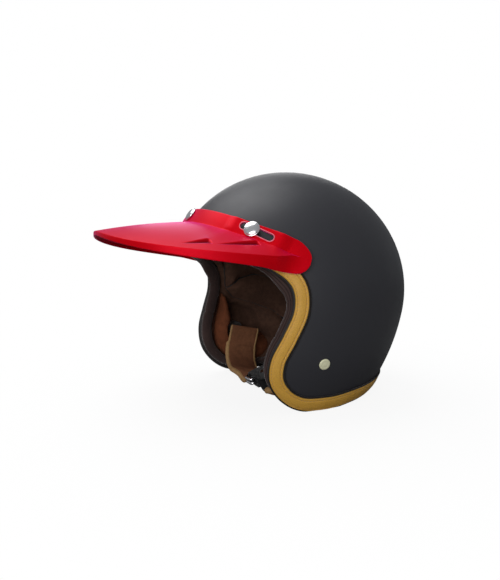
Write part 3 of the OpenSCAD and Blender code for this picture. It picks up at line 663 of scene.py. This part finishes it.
def seam_lines(d):
    """Distance, in radians, from a direction to the nearest seam of the lining."""
    across = np.arctan2(d[..., 0], d[..., 2] + 0.12)
    along = np.arcsin(np.clip(d[..., 1], -1, 1))
    upper = d[..., 2] > 0.3
    near = [np.where(upper, np.abs(across - a), 1.0) for a in (-0.36, 0.36)]
    near += [np.where(upper, np.abs(along - a), 1.0) for a in (-0.25, 0.52)]
    own = np.stack([np.abs(d[..., 0]), d[..., 1], d[..., 2]], -1)
    for seam in SIDE_SEAMS:
        corners = direction([q[0] for q in seam], [q[1] for q in seam])
        for a, b in zip(corners[:-1], corners[1:]):
            t = np.clip((own - a) @ (b - a) / ((b - a) @ (b - a)), 0, 1)
            near.append(np.linalg.norm(own - a - t[..., None] * (b - a), axis=-1))
    return np.minimum.reduce(near)


RIVET_DIR = direction(79.9, -28)


def lining_depth(d):
    share = (rim_reach(d) - away(d)) / (rim_reach(d) - foam_reach(d))
    side = np.degrees(np.arctan2(np.abs(d[..., 0]), -d[..., 1]))
    cheek = ease((side - 60) / 10) * ease((118 - side) / 10)
    start = 0.45 * cheek
    slope = ease((share - start) / (1 - start))
    groove = np.exp(-(seam_lines(d) / SEAM_WIDTH) ** 1.3)
    depth = lerp(9 * MM, -PAD_OUT + PAD_WALL, slope) - 8.0 * MM * groove * lerp(0.3, 1.0, slope)
    own = np.stack([np.abs(d[..., 0]), d[..., 1], d[..., 2]], -1)
    recess = ease((0.27 - np.arccos(np.clip(own @ RIVET_DIR, -1, 1))) / 0.07)
    return lerp(depth, 5.4 * MM, recess)


lining_loop = rim_in(np.full(len(rim), 7.0 * MM))
dress(
    dome("crown_lining", lining_loop, CROWN, lambda d: 1.0 * MM - lining_depth(d), lambda d: -lining_depth(d), 130, 1.0),
    "shell", "lining", "crown_pad",
)


def swell(obj, voxel, pressure, cap):
    """Cloth simulation of a padded piece: it swells from its own closed shape."""
    rm = obj.modifiers.new("remesh", "REMESH")
    rm.mode = "VOXEL"
    rm.voxel_size = voxel
    settle(obj)
    obj.data.shade_smooth()
    rest = coordinates(obj)
    cloth = obj.modifiers.new("cloth", "CLOTH")
    cloth.settings.use_pressure = True
    cloth.settings.uniform_pressure_force = pressure
    cloth.settings.effector_weights.gravity = 0.0
    cloth.settings.quality = 6
    cloth.settings.tension_stiffness = 12
    cloth.settings.bending_stiffness = 0.6
    cloth.point_cache.frame_start = 1
    cloth.point_cache.frame_end = 20
    for step in range(1, 21):
        bpy.context.scene.frame_set(step)
    settle(obj)
    moved = coordinates(obj)
    shift = moved - rest
    far = np.linalg.norm(shift, axis=1, keepdims=True)
    shift *= np.minimum(1, cap / np.maximum(far, 1e-9))
    obj.data.vertices.foreach_set("co", (rest + shift).astype(np.float32).ravel())
    obj.data.update()
    bpy.context.scene.frame_set(1)
    sub = obj.modifiers.new("smooth", "SUBSURF")
    sub.levels = sub.render_levels = 1
    settle(obj)
    obj.data.shade_smooth()
    return obj


def settle(obj):
    """Makes the modified mesh the object's own mesh."""
    graph = bpy.context.evaluated_depsgraph_get()
    mesh = bpy.data.meshes.new_from_object(obj.evaluated_get(graph), depsgraph=graph)
    obj.modifiers.clear()
    obj.data = mesh


def coordinates(obj):
    out = np.zeros(len(obj.data.vertices) * 3, np.float32)
    obj.data.vertices.foreach_get("co", out)
    return out.reshape(-1, 3).astype(float)


def belt_roll(name, mid, el, half_h, half_a, wall, drop, steps=64):
    """Padded roll against the shell along a belt of directions."""
    a = np.linspace(0, math.pi, 13)
    outline = np.stack([-np.cos(a), np.sin(a) ** 0.6], -1)
    u = np.linspace(-1, 1, steps)[:, None]
    k = np.sqrt(np.maximum(0.02, 1 - np.abs(u) ** 8))
    rows = el - drop * (1 - np.cos(np.radians(u * 90))) + half_h * k * outline[None, :, 0]
    d = direction(mid + half_a * u + 0 * rows, rows)
    grid = skin(d, LINER_OUT - wall * k * outline[None, :, 1])
    return sheet(name, grid, closed_cols=True, tips=[grid[0].mean(0), grid[-1].mean(0)])


brow = belt_roll("brow_roll", 0, 28.9, 2.0, 50, 22.5 * MM, 8.6)
dress(swell(brow, 3.0 * MM, 3.0, 1.0 * MM), "shell", "lining", "brow_pad")
nape = belt_roll("nape_roll", 180, -40.2, 2.6, 62, 20.5 * MM, 0)
dress(swell(nape, 3.0 * MM, 3.0, 1.0 * MM), "shell", "lining", "nape_roll")

for k, seam in enumerate(SIDE_SEAMS):
    corners = direction([q[0] for q in seam], [q[1] for q in seam])
    d = unit(soften(evenly(corners, 0.012), 6))
    path = skin(d, -lining_depth(d) + 0.35 * MM)
    for side, p, n in (("left", path, normal(d)), ("right", mirrored(path), mirrored(normal(d)))):
        cord_piece = tube("lining_seam_%s_%d" % (side, k), p, 0.8 * MM, n, sides=8)
        dress(cord_piece, "shell", "dark_piping", look=THREAD_DARK)

# Cheek pads: crowned pads against the shell, each with a port for the strap.
CHEEK_LOOP = [
    (70.5, -5), (69, -13), (65, -22), (61.5, -32), (65, -39.5), (74, -44.5), (86, -46.3), (99, -45.5),
    (105.5, -38), (100, -31.5), (88, -29), (78.5, -24), (75, -15), (73.5, -7),
]
CHEEK_CENTRE = direction(70.5, -35)
CHEEK_FACE_X, CHEEK_LIP, PORT_R = 79 * MM, 3 * MM, 17 * MM
rivet_point = skin(RIVET_DIR, -SHELL_WALL)
PIVOT = np.array([0, rivet_point[1], rivet_point[2]])


def cheek_pad(name, flip, inset):
    d = direction([c[0] for c in CHEEK_LOOP], [c[1] for c in CHEEK_LOOP])
    loop = slerp(smooth_loop(d, 6), CHEEK_CENTRE, inset)
    rows = 12
    t = np.arange(rows) / rows
    ring = np.stack([slerp(loop, CHEEK_CENTRE, k) for k in t])
    back = skin(ring, LINER_OUT - 0.3 * MM)
    swollen = np.sqrt(1 - (1 - t) ** 3)[:, None]
    front = back.copy()
    front[..., 0] = back[..., 0] - CHEEK_LIP - (back[..., 0] - CHEEK_LIP - CHEEK_FACE_X - 0.8 * MM) * swollen
    middle = skin(CHEEK_CENTRE, LINER_OUT - 0.3 * MM)
    tips = [middle, np.array([CHEEK_FACE_X + 0.8 * MM, middle[1], middle[2]])]
    grid = np.concatenate([back[::-1], front])
    if flip:
        grid, tips = mirrored(grid), [mirrored(p) for p in tips]
    pad = sheet(name, grid, closed_cols=True, tips=tips)
    a = np.linspace(0, 2 * math.pi, 48, endpoint=False)
    y, z = PIVOT[1] + PORT_R * np.cos(a), PIVOT[2] + PORT_R * np.sin(a)
    tool_grid = np.stack([np.stack([np.full(48, x), y, z], -1) for x in (-0.2, 0.2)])
    tool = sheet("port_tool", tool_grid, closed_cols=True, tips=[PIVOT - [0.2, 0, 0], PIVOT + [0.2, 0, 0]])
    cut = pad.modifiers.new("port", "BOOLEAN")
    cut.operation, cut.solver, cut.object = "DIFFERENCE", "EXACT", tool
    settle(pad)
    bpy.data.objects.remove(tool)
    pad.data.shade_smooth()
    return pad


for side, flip in (("left", False), ("right", True)):
    pad = cheek_pad("cheek_cushion_" + side, flip, 0.03)
    dress(swell(pad, 3.5 * MM, 4.0, 1.6 * MM), "shell", "cheek_fabric", "cheek_pad_" + side)

# ---- chin strap -----------------------------------------------------------------------
# Laid out hanging straight down from the pivots, then leaned forward about them.

LEAN = math.radians(-12)
WEB_W, WEB_T = 22 * MM, 2 * MM
PIVOT_IN_X = rivet_point[0] - 12.0 * MM
HANGER_X = PIVOT_IN_X + 1.6 * MM
WEB_Z = (-6.6 - 1.5 - 1.0 - 0.2) * MM
LEG_X, LEG_BEND, LOOP_BEND, LOOP_Z = 74 * MM, 5 * MM, 30 * MM, -44 * MM
RING_TWIST = math.radians(32)
TWIST_FROM, TWIST_TO = 46 * MM, 22 * MM


def leaned(p):
    c, s = math.cos(LEAN), math.sin(LEAN)
    p = np.asarray(p, float)
    return PIVOT + np.stack([p[..., 0], c * p[..., 1] - s * p[..., 2], s * p[..., 1] + c * p[..., 2]], -1)


def twist_at(x):
    return RING_TWIST * ease((TWIST_FROM - np.abs(x)) / (TWIST_FROM - TWIST_TO))


def wide_at(x):
    t = twist_at(x)
    return np.stack([0 * t, np.cos(t), np.sin(t)], -1)


def up_at(x):
    t = twist_at(x)
    return np.stack([0 * t, -np.sin(t), np.cos(t)], -1)


def bottom(x, n=0.0):
    x = np.atleast_1d(np.asarray(x, float))
    n = np.broadcast_to(n, x.shape)
    return np.stack([x, 0 * x, 0 * x + LOOP_Z], -1) + n[:, None] * up_at(x)


_a = np.radians(np.linspace(0, 90, 10))
_b = np.radians(np.linspace(0, 84, 24))
leg_line = np.concatenate([
    [[HANGER_X - 1.5 * MM, 0, WEB_Z]],
    np.stack([LEG_X + LEG_BEND * (1 - np.sin(_a)), 0 * _a, WEB_Z - LEG_BEND * (1 - np.cos(_a))], -1),
    np.stack([LEG_X - LOOP_BEND * (1 - np.cos(_b)), 0 * _b, LOOP_Z + LOOP_BEND * (1 - np.sin(_b))], -1),
])
SLEEVE_START = 11


def ribbon(name, line, wide, thick, power=6.0, puff=None):
    """Flat strap along a line, with rounded edges; power 2 is fully rounded."""
    line = soften(evenly(line, 1.2 * MM))
    along = unit(np.gradient(line, axis=0))
    side = wide_at(line[:, 0])
    up = np.cross(along, side)
    a = np.linspace(0, 2 * math.pi, 36, endpoint=False)
    c, s = np.cos(a), np.sin(a)
    half = (wide(line[:, 0]) if callable(wide) else np.full(len(line), wide)) / 2
    x = np.sign(c) * np.abs(c) ** (2 / power)
    y = np.sign(s) * np.abs(s) ** (2 / power) * thick / 2
    k = np.ones(len(line)) if puff is None else puff(lengths(line, False))
    grid = (line[:, None] + (x[None, :] * half[:, None])[..., None] * side[:, None]
            + (y[None, :] * k[:, None])[..., None] * up[:, None])
    return sheet(name, leaned(grid), closed_cols=True, tips=leaned(np.stack([line[0], line[-1]])))


RING_X, RING_PITCH, RING_LEN, RING_R, RING_CORNER = 2 * MM, 4.6 * MM, 14.5 * MM, 1.7 * MM, 5 * MM
RING_LIFT = RING_R + RING_PITCH / 2 + WEB_T / 2 + 1.3 * MM
TURN_R = RING_PITCH / 2 + RING_R + 0.3 * MM + WEB_T / 2
TAIL_N = RING_LIFT + TURN_R + WEB_T + 0.5 * MM
THREAD_X = RING_X - 9.2 * MM
run = np.array([44, 36, 28, 22]) * MM
_c = np.radians(np.arange(0, 181, 15))
near_line = np.concatenate([
    leg_line, bottom(run),
    bottom(np.array([RING_X + 12 * MM, RING_X + 5 * MM]), np.array([RING_LIFT + TURN_R - 3 * MM, RING_LIFT + TURN_R])),
    bottom(RING_X - TURN_R * np.sin(_c), RING_LIFT + TURN_R * np.cos(_c)),
    bottom(RING_X + 9 * MM, RING_LIFT - TURN_R),
])
dress(ribbon("ring_webbing", near_line, WEB_W, WEB_T), "chin_strap", "webbing", "ring_strap")
BEND = 1.6 * MM
tail_x = np.array([RING_X, 12 * MM, 22 * MM, 32 * MM])
far_line = np.concatenate([
    mirrored(leg_line), bottom(-run), bottom(-16 * MM),
    bottom(THREAD_X - BEND * (1 - np.sin(_a)), BEND * (1 - np.cos(_a))),
    bottom(THREAD_X + BEND * (1 - np.cos(_a)), TAIL_N - BEND * (1 - np.sin(_a))),
    bottom(tail_x, np.full(4, TAIL_N)),
])
dress(ribbon("long_webbing", far_line, WEB_W, WEB_T), "chin_strap", "webbing", "long_strap")


SLEEVE_W, SLEEVE_END_W, SLEEVE_T, FLAP_TOP, FLAP_T = 36 * MM, 25 * MM, 7.2 * MM, 6 * MM, 2.8 * MM
inner_x = LEG_X - (SLEEVE_T - FLAP_T) / 2
flap_end = leg_line[SLEEVE_START, 2]
flap_line = np.array([[inner_x, 0, z] for z in np.linspace(FLAP_TOP, flap_end - 1 * MM, 8)])
# The buckle's side ends early, beside the rings; the other side runs up to them.
SLEEVE_RUNS = {"left": np.array([44, 38, 32]) * MM, "right": np.array([44, 36, 28, 22]) * MM}


def sleeve_width(x):
    """The sleeve narrows where the strap starts to twist."""
    return lerp(SLEEVE_END_W, SLEEVE_W, ease((np.abs(x) - 34 * MM) / (16 * MM)))


def sleeve_puff(s):
    """Thickness along the sleeve: a thin top flap over the pivot, a fuller bottom."""
    t = s / s[-1]
    ends = np.sqrt(np.clip(np.minimum(t, 1 - t) / 0.035, 0.15, 1))
    body = lerp(FLAP_T / SLEEVE_T, 1, ease((s - (FLAP_TOP - flap_end)) / (4 * MM)))
    ripple = 1 + 0.04 * np.sin(s / 0.0037) * np.sin(s / 0.019)
    return ends * body * ripple * lerp(1, 1.35, ease((t - 0.6) / 0.3))


for side, flip in (("left", False), ("right", True)):
    line = np.concatenate([flap_line, leg_line[SLEEVE_START + 1:], bottom(SLEEVE_RUNS[side])])
    line = mirrored(line) if flip else line
    pad = ribbon("strap_padding_" + side, line, sleeve_width, SLEEVE_T, 3.2, sleeve_puff)
    dress(pad, "chin_strap", "sleeve_fabric", "strap_sleeve_" + side)
    path = soften(evenly(line, 1.2 * MM))
    fat = 0.36 * SLEEVE_T * sleeve_puff(lengths(path, False)) ** 0.7
    out = (sleeve_width(path[:, 0]) / 2 - 0.8 * MM)[:, None] * wide_at(path[:, 0])
    for place, sign in (("front", -1), ("rear", 1)):
        hem = leaned(path + sign * out)
        roll = tube("strap_hem_%s_%s" % (side, place), hem, fat, np.broadcast_to([0.0, 1.0, 0.0], hem.shape), sides=14)
        dress(roll, "chin_strap", "sleeve_fabric", look=HEM_CLOTH)


def ring_path(lift):
    """Closed centre line of a D-ring: a straight bar, two arms and a rounded bow."""
    half = WEB_W / 2 + 1.2 * MM + RING_R
    corners = [((0, -half), 2.2 * MM), ((-RING_LEN, -half), RING_CORNER),
               ((-RING_LEN, half), RING_CORNER), ((0, half), 2.2 * MM)]
    inward = [(-1, 1), (1, 1), (1, -1), (-1, -1)]
    points = []
    for k, (((x, y), r), (ix, iy)) in enumerate(zip(corners, inward)):
        start = math.radians([-90 + 0, 180 + 90, 180, 90][k])
        first = {0: 0.0, 1: -90.0, 2: 180.0, 3: 90.0}[k]
        sweep = np.radians(first - np.linspace(0, 90, 9))
        points.append(np.stack([x + ix * r + r * np.cos(sweep), y + iy * r + r * np.sin(sweep)], -1))
    flat = np.concatenate(points)
    closed = np.concatenate([flat, flat[:1]])
    s = np.concatenate([[0], np.cumsum(np.linalg.norm(np.diff(closed, axis=0), axis=1))])
    x = np.linspace(0, s[-1], 120, endpoint=False)
    flat = np.stack([np.interp(x, s, closed[:, k]) for k in range(2)], -1)
    c, n = math.cos(RING_TWIST), math.sin(RING_TWIST)
    local = np.stack([flat[:, 0], c * flat[:, 1], n * flat[:, 1]], -1)
    return leaned(bottom(RING_X, lift) + local)


ring_up = leaned(up_at(np.array([0.0])))[0] - leaned(np.zeros((1, 3)))[0]
for name, body, lift, node in (
    ("d_ring_upper_wire", "d_ring_upper", RING_LIFT + RING_PITCH / 2, "d_ring_inner"),
    ("d_ring_lower_wire", "d_ring_lower", RING_LIFT - RING_PITCH / 2, "d_ring_outer"),
):
    path = ring_path(lift)
    wire = tube(name, path, RING_R, np.broadcast_to(ring_up, path.shape), sides=16, closed=True)
    dress(wire, body, "chrome", node)

# ---- fasteners ------------------------------------------------------------------------

SIDE_SNAP, CENTRE_SNAP = direction(46, 28.4), direction(0, 35.3)
PEAK_OFF, PEAK_T = 6.2 * MM, 2.2 * MM
PEAK_IN = PEAK_OFF - PEAK_T
CAP_R, CAP_H = 7.5 * MM, 3.0 * MM
base = PEAK_OFF + 0.15 * MM
dome_a = np.radians(np.linspace(0, 90, 14))[:-1]
cap_profile = [(3.2 * MM, PEAK_IN - 0.3 * MM), (3.2 * MM, base), (CAP_R - 2.6 * MM, base + 0.05 * MM), (CAP_R - 0.5 * MM, base + 0.5 * MM)]
cap_profile += [(CAP_R, base + 0.8 * MM), (CAP_R - 0.15 * MM, base + 1.0 * MM), (CAP_R - 0.6 * MM, base + 1.1 * MM)]
cap_profile += [((CAP_R - 0.75 * MM) * math.cos(a), base + 1.1 * MM + (CAP_H - 1.1 * MM) * math.sin(a)) for a in dome_a]
cap_profile += [(0.3 * MM, base + CAP_H - 0.01 * MM)]
for name, d, flip, body, node in (
    ("chrome_cap_left", SIDE_SNAP, False, "snap_left", "snap_cap_left"),
    ("chrome_cap_right", SIDE_SNAP, True, "snap_right", "snap_cap_right"),
    ("chrome_cap_centre", CENTRE_SNAP, False, "visor", "snap_cap_centre"),
):
    dress(lathe(name, d, cap_profile, flip), body, "chrome", node)

rivet_profile = rounded([
    (2.6, -3), (2.6, 0.25), (5.4, 0.25), (5.4, 0.9), (5.0, 1.45), (4.2, 1.7), (3.4, 1.78), (3.0, 1.62), (2.6, 1.62),
    (2.2, 1.8), (1.2, 1.95), (0.1, 2.0),
])
for name, flip, node in (("rivet_head_left", False, "strap_rivet_left"), ("rivet_head_right", True, "strap_rivet_right")):
    dress(lathe(name, RIVET_DIR, rivet_profile * MM, flip), "shell", "rivet_metal", node)

# ---- peak -----------------------------------------------------------------------------

END_AZ, END_LEN, END_EL, FALL = 66.0, 6.2, 17.0, 23.3
BRIM_HALF_W, BRIM_REACH, BRIM_Y, BRIM_POWER = 116.5 * MM, 159 * MM, -45 * MM, 2.16
SLOT_AHEAD, SLOT_BEHIND, SLOT_W = 12.6 * MM, 23 * MM, 7 * MM
pull_dir, side_normal = normal(CENTRE_SNAP), normal(SIDE_SNAP)
slot_dir = unit(pull_dir - (pull_dir @ side_normal) * side_normal)
slot_across = np.cross(slot_dir, side_normal)


def closing(a):
    u = np.clip((np.abs(a) - END_AZ) / END_LEN, 0, 1)
    return np.sqrt(np.maximum(0.01, 1 - u * u))


def belt(a, el):
    return END_EL + (el - FALL * (1 - np.cos(np.radians(a))) - END_EL) * closing(a)


def band_top(a):
    return belt(a, 38.5)


def band_low(a):
    return belt(a, 31.6)


def end_low(a):
    return END_EL + (10.6 - END_EL) * closing(a)


def brim_z(x, y):
    u = (y + 0.115) / 0.090
    return MIDDLE[2] + (70.5 + 2.7 * u - 7 * u * u - 24.8 * np.abs(x / 0.1) ** 1.575) * MM


def brim_r(a):
    lo, hi = np.zeros_like(a), np.full_like(a, 0.32)
    for _ in range(30):
        r = (lo + hi) / 2
        f = (np.abs(r * np.sin(np.radians(a))) / BRIM_HALF_W) ** BRIM_POWER
        f = f + (np.maximum(0, r * np.cos(np.radians(a)) + BRIM_Y) / BRIM_REACH) ** BRIM_POWER
        lo, hi = np.where(f > 1, lo, r), np.where(f > 1, r, hi)
    return (lo + hi) / 2


def flat_pad(p, h):
    s = skin(SIDE_SNAP, h)
    sign = np.where(p[..., :1] < 0, -1.0, 1.0)
    q = np.concatenate([np.abs(p[..., :1]), p[..., 1:]], -1) - s
    along = np.abs(q @ slot_dir + (SLOT_BEHIND - SLOT_AHEAD) / 2)
    wide = np.abs(q @ slot_across)
    k = ease((0.034 - along) / 0.012) * ease((0.014 - wide) / 0.007)
    f = s + q - (k * (q @ side_normal))[..., None] * side_normal
    return np.concatenate([f[..., :1] * sign, f[..., 1:]], -1)


def on_band(a, el, h):
    return flat_pad(skin(direction(a, el), h), h)


def brim_point(a, s, sink):
    root = on_band(a, band_low(a), PEAK_OFF)
    k = ease((np.abs(a) - 58) / 11)[:, None]
    r = brim_r(a)
    out_x, out_y = r * np.sin(np.radians(a)), -r * np.cos(np.radians(a))
    edge = lerp(np.stack([out_x, out_y, brim_z(out_x, out_y)], -1), root, k)
    xy = lerp(root[:, :2], edge[:, :2], s)
    lift = root[:, 2] - brim_z(root[:, 0], root[:, 1])
    z = lerp(brim_z(xy[:, 0], xy[:, 1]) + lift * (1 - s), lerp(root[:, 2], edge[:, 2], s), k[:, 0])
    return np.stack([xy[:, 0], xy[:, 1], z - sink], -1)


def skirt_point(a, h):
    p = brim_point(a, 1.0, (3.9 + 8.6 * np.clip(np.abs(a) / 66, 0, 1) ** 1.5) * MM)
    k = ease((np.abs(a) - 52) / 14)[:, None]
    outward = np.stack([np.sin(np.radians(a)), -np.cos(np.radians(a)), 0 * a], -1)
    return lerp(p - (PEAK_OFF - h) * outward, on_band(a, end_low(a), h), k)


# Moulded scoops in the brim, given as plan points: tip, inner end, outer end.
SCOOPS = [
    ((84.4, -147.0), (83.6, -120.5), (90.8, -121.2)),
    ((93.4, -119.5), (92.4, -79.4), (98.6, -78.2)),
]
SCOOP_DEPTH, FIN_HEIGHT = 2.4 * MM, 0.9 * MM


def sculpt(p):
    """Height change of the brim at points p: each scoop sinks beside a raised fin. Also gives a mask of painted shade
    that darkens the colour inside each scoop.
    """
    x, y = np.abs(p[..., 0]) / MM, p[..., 1] / MM
    change, scoop_shade = np.zeros_like(x), np.zeros_like(x)
    for tip, inner, outer in SCOOPS:
        t = (y - tip[1]) / ((inner[1] + outer[1]) / 2 - tip[1])
        low = lerp(tip[0], inner[0], t)
        high = lerp(tip[0], outer[0], t)
        inside = ease((x - low) / 1.1 + 0.5) * ease((high - x) / 1.4 + 0.5) * (t > 0)
        closed = ease((1 - t) * (outer[1] - tip[1]) / 1.0 + 0.3)
        change -= SCOOP_DEPTH * inside * closed * np.clip(t, 0, 1)
        # Painted shade mask: strongest inside each scoop, fading out at its tip.
        scoop_shade = np.maximum(scoop_shade, inside * closed * ease(t * 3))
        beside = np.exp(-np.clip(low - x, 0, 60) / 7.0) * ease((low - x) / 1.1 + 0.5)
        behind = ease((1 - t) * (outer[1] - tip[1]) / 5.0 + 0.6)
        change += FIN_HEIGHT * beside * behind * ease(t * 1.15) * (t > 0)
    return change, scoop_shade


def fillet(before, corner, after, radius, steps=4):
    """Rounds a corner; the radius shrinks where a neighbour is close."""
    def toward(q):
        v = q - corner
        far = np.linalg.norm(v, axis=-1, keepdims=True)
        return corner + v * np.minimum(0.42, radius / np.maximum(far, 1e-7))

    a, b = toward(before), toward(after)
    return [(1 - t) ** 2 * a + 2 * t * (1 - t) * corner + t * t * b for t in np.linspace(0, 1, steps + 1)]


def between(a, b, steps):
    return [lerp(a, b, t) for t in np.linspace(0.34, 0.8, steps)]


az = np.concatenate([
    -END_AZ - END_LEN * np.sin(np.radians(np.linspace(90, 4, 14))),
    np.linspace(-END_AZ, END_AZ, 397),
    END_AZ + END_LEN * np.sin(np.radians(np.linspace(4, 90, 14))),
])
BRIM_STEPS = 84
brim_out = [brim_point(az, s, 0.0) for s in np.linspace(0, 1, BRIM_STEPS + 1)]
blend_out = ease((np.abs(az) - 58) / 11)[:, None]
brim_under = [
    lerp(brim_point(az, s, PEAK_T), on_band(az, lerp(band_low(az), end_low(az), s), PEAK_IN), blend_out)
    for s in np.linspace(0, 1, BRIM_STEPS + 1)[1:-1]
]
for row in brim_out[1:-1] + brim_under:
    fade = 1 - blend_out[:, 0]
    row[:, 2] += sculpt(row)[0] * fade
top_out, top_in = on_band(az, band_top(az), PEAK_OFF), on_band(az, band_top(az), PEAK_IN)
low_in = on_band(az, band_low(az) - 1.0 * closing(az), PEAK_IN)
lip_out, lip_in = skirt_point(az, PEAK_OFF), skirt_point(az, PEAK_IN)
band_rows = [on_band(az, lerp(band_top(az), band_low(az), t), PEAK_OFF) for t in np.linspace(0, 1, 11)]
inner_rows = [on_band(az, lerp(band_low(az) - closing(az), band_top(az), t), PEAK_IN) for t in np.linspace(0, 1, 9)]
section = fillet(top_in, top_out, band_rows[1], 0.7 * MM)
section += band_rows[1:-1]
section += fillet(band_rows[-2], band_rows[-1], brim_out[1], 0.9 * MM, 3)
section += brim_out[1:-1]
section += fillet(brim_out[-2], brim_out[-1], lip_out, 1.0 * MM)
section += between(brim_out[-1], lip_out, 4)
section += fillet(brim_out[-1], lip_out, lip_in, 0.6 * MM)
section += fillet(lip_out, lip_in, brim_under[-1], 0.5 * MM, 2)
section += brim_under[::-1]
section += inner_rows
section = np.stack(section, 1)
peak = sheet("peak_moulding", section, closed_cols=True, tips=[section[0].mean(0), section[-1].mean(0)])


def slot_outline(grow, flip):
    """Closed stadium round a side slot, in the plane of the slot."""
    r = SLOT_W / 2 + grow
    ends = []
    for centre, first in ((SLOT_AHEAD - SLOT_W / 2, -90), (SLOT_W / 2 - SLOT_BEHIND, 90)):
        a = np.radians(first + np.linspace(0, 180, 17))
        ends.append(np.stack([centre + r * np.cos(a), r * np.sin(a)], -1))
    flat = np.concatenate(ends)
    p = flat[:, :1] * slot_dir + flat[:, 1:] * slot_across
    return mirrored(p) if flip else p


for flip in (False, True):
    m = mirrored if flip else (lambda v: v)
    ring = slot_outline(0.0, flip)
    grid = np.stack([m(skin(SIDE_SNAP, h)) + ring for h in (-2 * MM, 14 * MM)])
    tool = sheet("slot_tool", grid, closed_cols=True, tips=[grid[0].mean(0), grid[1].mean(0)])
    cut = peak.modifiers.new("slot", "BOOLEAN")
    cut.operation, cut.solver, cut.object = "DIFFERENCE", "EXACT", tool
    settle(peak)
    bpy.data.objects.remove(tool)
peak.data.shade_smooth()
# Painted shade: the scoop mask from sculpt() is stored on the peak, and the plastic's colour darkens inside the scoops
# by it.
at = coordinates(peak)
mask = peak.data.attributes.new("scoop_shade", "FLOAT", "POINT")
mask.data.foreach_set("value", (0.8 * sculpt(at)[1]).astype(np.float32))
dress(peak, "visor", "peak_plastic", "visor_peak")
# Beads round the slots, shaped in the peak's plastic but coloured pale pink as a painted highlight along the slot
# edges.
for side, flip in (("left", False), ("right", True)):
    m = mirrored if flip else (lambda v: v)
    path = m(skin(SIDE_SNAP, PEAK_OFF)) + slot_outline(0.35 * MM, flip)
    path = evenly(np.concatenate([path, path[:1]]), 0.8 * MM)[:-1]
    ups = np.broadcast_to(m(side_normal), path.shape)
    bead = tube("slot_bead_" + side, path, 0.5 * MM, ups, sides=10, closed=True)
    dress(bead, "visor", "peak_plastic", look=BEAD_PAINTED_HIGHLIGHT)

# ---- CAD pieces carried over ------------------------------------------------------------

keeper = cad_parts["keeper_snap"]
for name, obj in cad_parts.items():
    if not obj.hide_render:
        slot = "chrome" if name == "keeper_snap" else "steel"
        obj.data.materials.clear()
        obj.data.materials.append(LOOKS[slot])

# ---- stage, light and camera --------------------------------------------------------------

floor_mesh = bpy.data.meshes.new("floor")
floor_mesh.from_pydata([(-6, -6, 0), (6, -6, 0), (6, 6, 0), (-6, 6, 0)], [], [(0, 1, 2, 3)])
floor = bpy.data.objects.new("floor", floor_mesh)
floor.location.z = -0.0006
bpy.context.scene.collection.objects.link(floor)
g = Graph("floor")
matt = g.add("BsdfDiffuse", {"Color": g.blend(g.noise(g.place(), 3.0), (0.94, 0.94, 0.94, 1), (0.97, 0.97, 0.97, 1))})
dim = g.add("BsdfDiffuse", {"Color": (0.22, 0.22, 0.22, 1)})
white = g.add("Emission", {"Color": (1, 1, 1, 1), "Strength": 1.0})
far = g.add("VectorMath", {0: g.place()}, operation="LENGTH").outputs["Value"]
glow = g.spread(far, 0.08, 0.36, 0.9, 1.0)
pale = g.add("MixShader", {0: glow, 1: matt.outputs[0], 2: white.outputs[0]})
seen_from = g.add("LightPath").outputs["Is Camera Ray"]
floor_mix = g.add("MixShader", {0: seen_from, 1: dim.outputs[0], 2: pale.outputs[0]})
g.tree.links.new(floor_mix.outputs[0], g.add("OutputMaterial").inputs[0])
floor_mesh.materials.append(g.material)

world = bpy.data.worlds.new("studio")
bpy.context.scene.world = world
world.use_nodes = True
nt = world.node_tree
nt.nodes.clear()
seen = nt.nodes.new("ShaderNodeBackground")
seen.inputs[0].default_value = (1, 1, 1, 1)
seen.inputs[1].default_value = 1.0
fill = nt.nodes.new("ShaderNodeBackground")
fill.inputs[0].default_value = (0.93, 0.96, 1.0, 1)
fill.inputs[1].default_value = 0.28
path_node = nt.nodes.new("ShaderNodeLightPath")
mixer = nt.nodes.new("ShaderNodeMixShader")
world_out = nt.nodes.new("ShaderNodeOutputWorld")
nt.links.new(path_node.outputs["Is Camera Ray"], mixer.inputs[0])
nt.links.new(fill.outputs[0], mixer.inputs[1])
nt.links.new(seen.outputs[0], mixer.inputs[2])
nt.links.new(mixer.outputs[0], world_out.inputs[0])


def soft_light(name, azimuth, elevation, distance, size, power, colour=(1, 1, 1)):
    data = bpy.data.lights.new(name, "AREA")
    data.shape = "DISK"
    data.size = size
    data.energy = power
    data.color = colour
    obj = bpy.data.objects.new(name, data)
    bpy.context.scene.collection.objects.link(obj)
    aim = Vector((0, 0, 0.12))
    back = Vector(direction(azimuth, elevation).tolist())
    obj.location = aim + back * distance
    obj.rotation_mode = "QUATERNION"
    obj.rotation_quaternion = back.to_track_quat("Z", "Y")
    return obj


soft_light("key", -50, 66, 1.4, 1.3, 14.0)
soft_light("front", 48, 10, 1.6, 1.2, 13.0)
soft_light("back", 246, 20, 1.6, 1.0, 6.0)

EYE = Vector((0.53014, -0.28223, 0.16537))
VIEW_AZ, VIEW_EL, LENS = 65.82, 5.62, 33.9
camera = bpy.data.objects.new("camera", bpy.data.cameras.new("camera"))
bpy.context.scene.collection.objects.link(camera)
camera.data.sensor_width = 36.0
camera.data.lens = LENS
camera.data.clip_start = 0.01
camera.location = EYE
camera.rotation_mode = "QUATERNION"
camera.rotation_quaternion = Vector(direction(VIEW_AZ, VIEW_EL).tolist()).to_track_quat("Z", "Y")
bpy.context.scene.camera = camera
bpy.context.scene.view_settings.view_transform = "Standard"
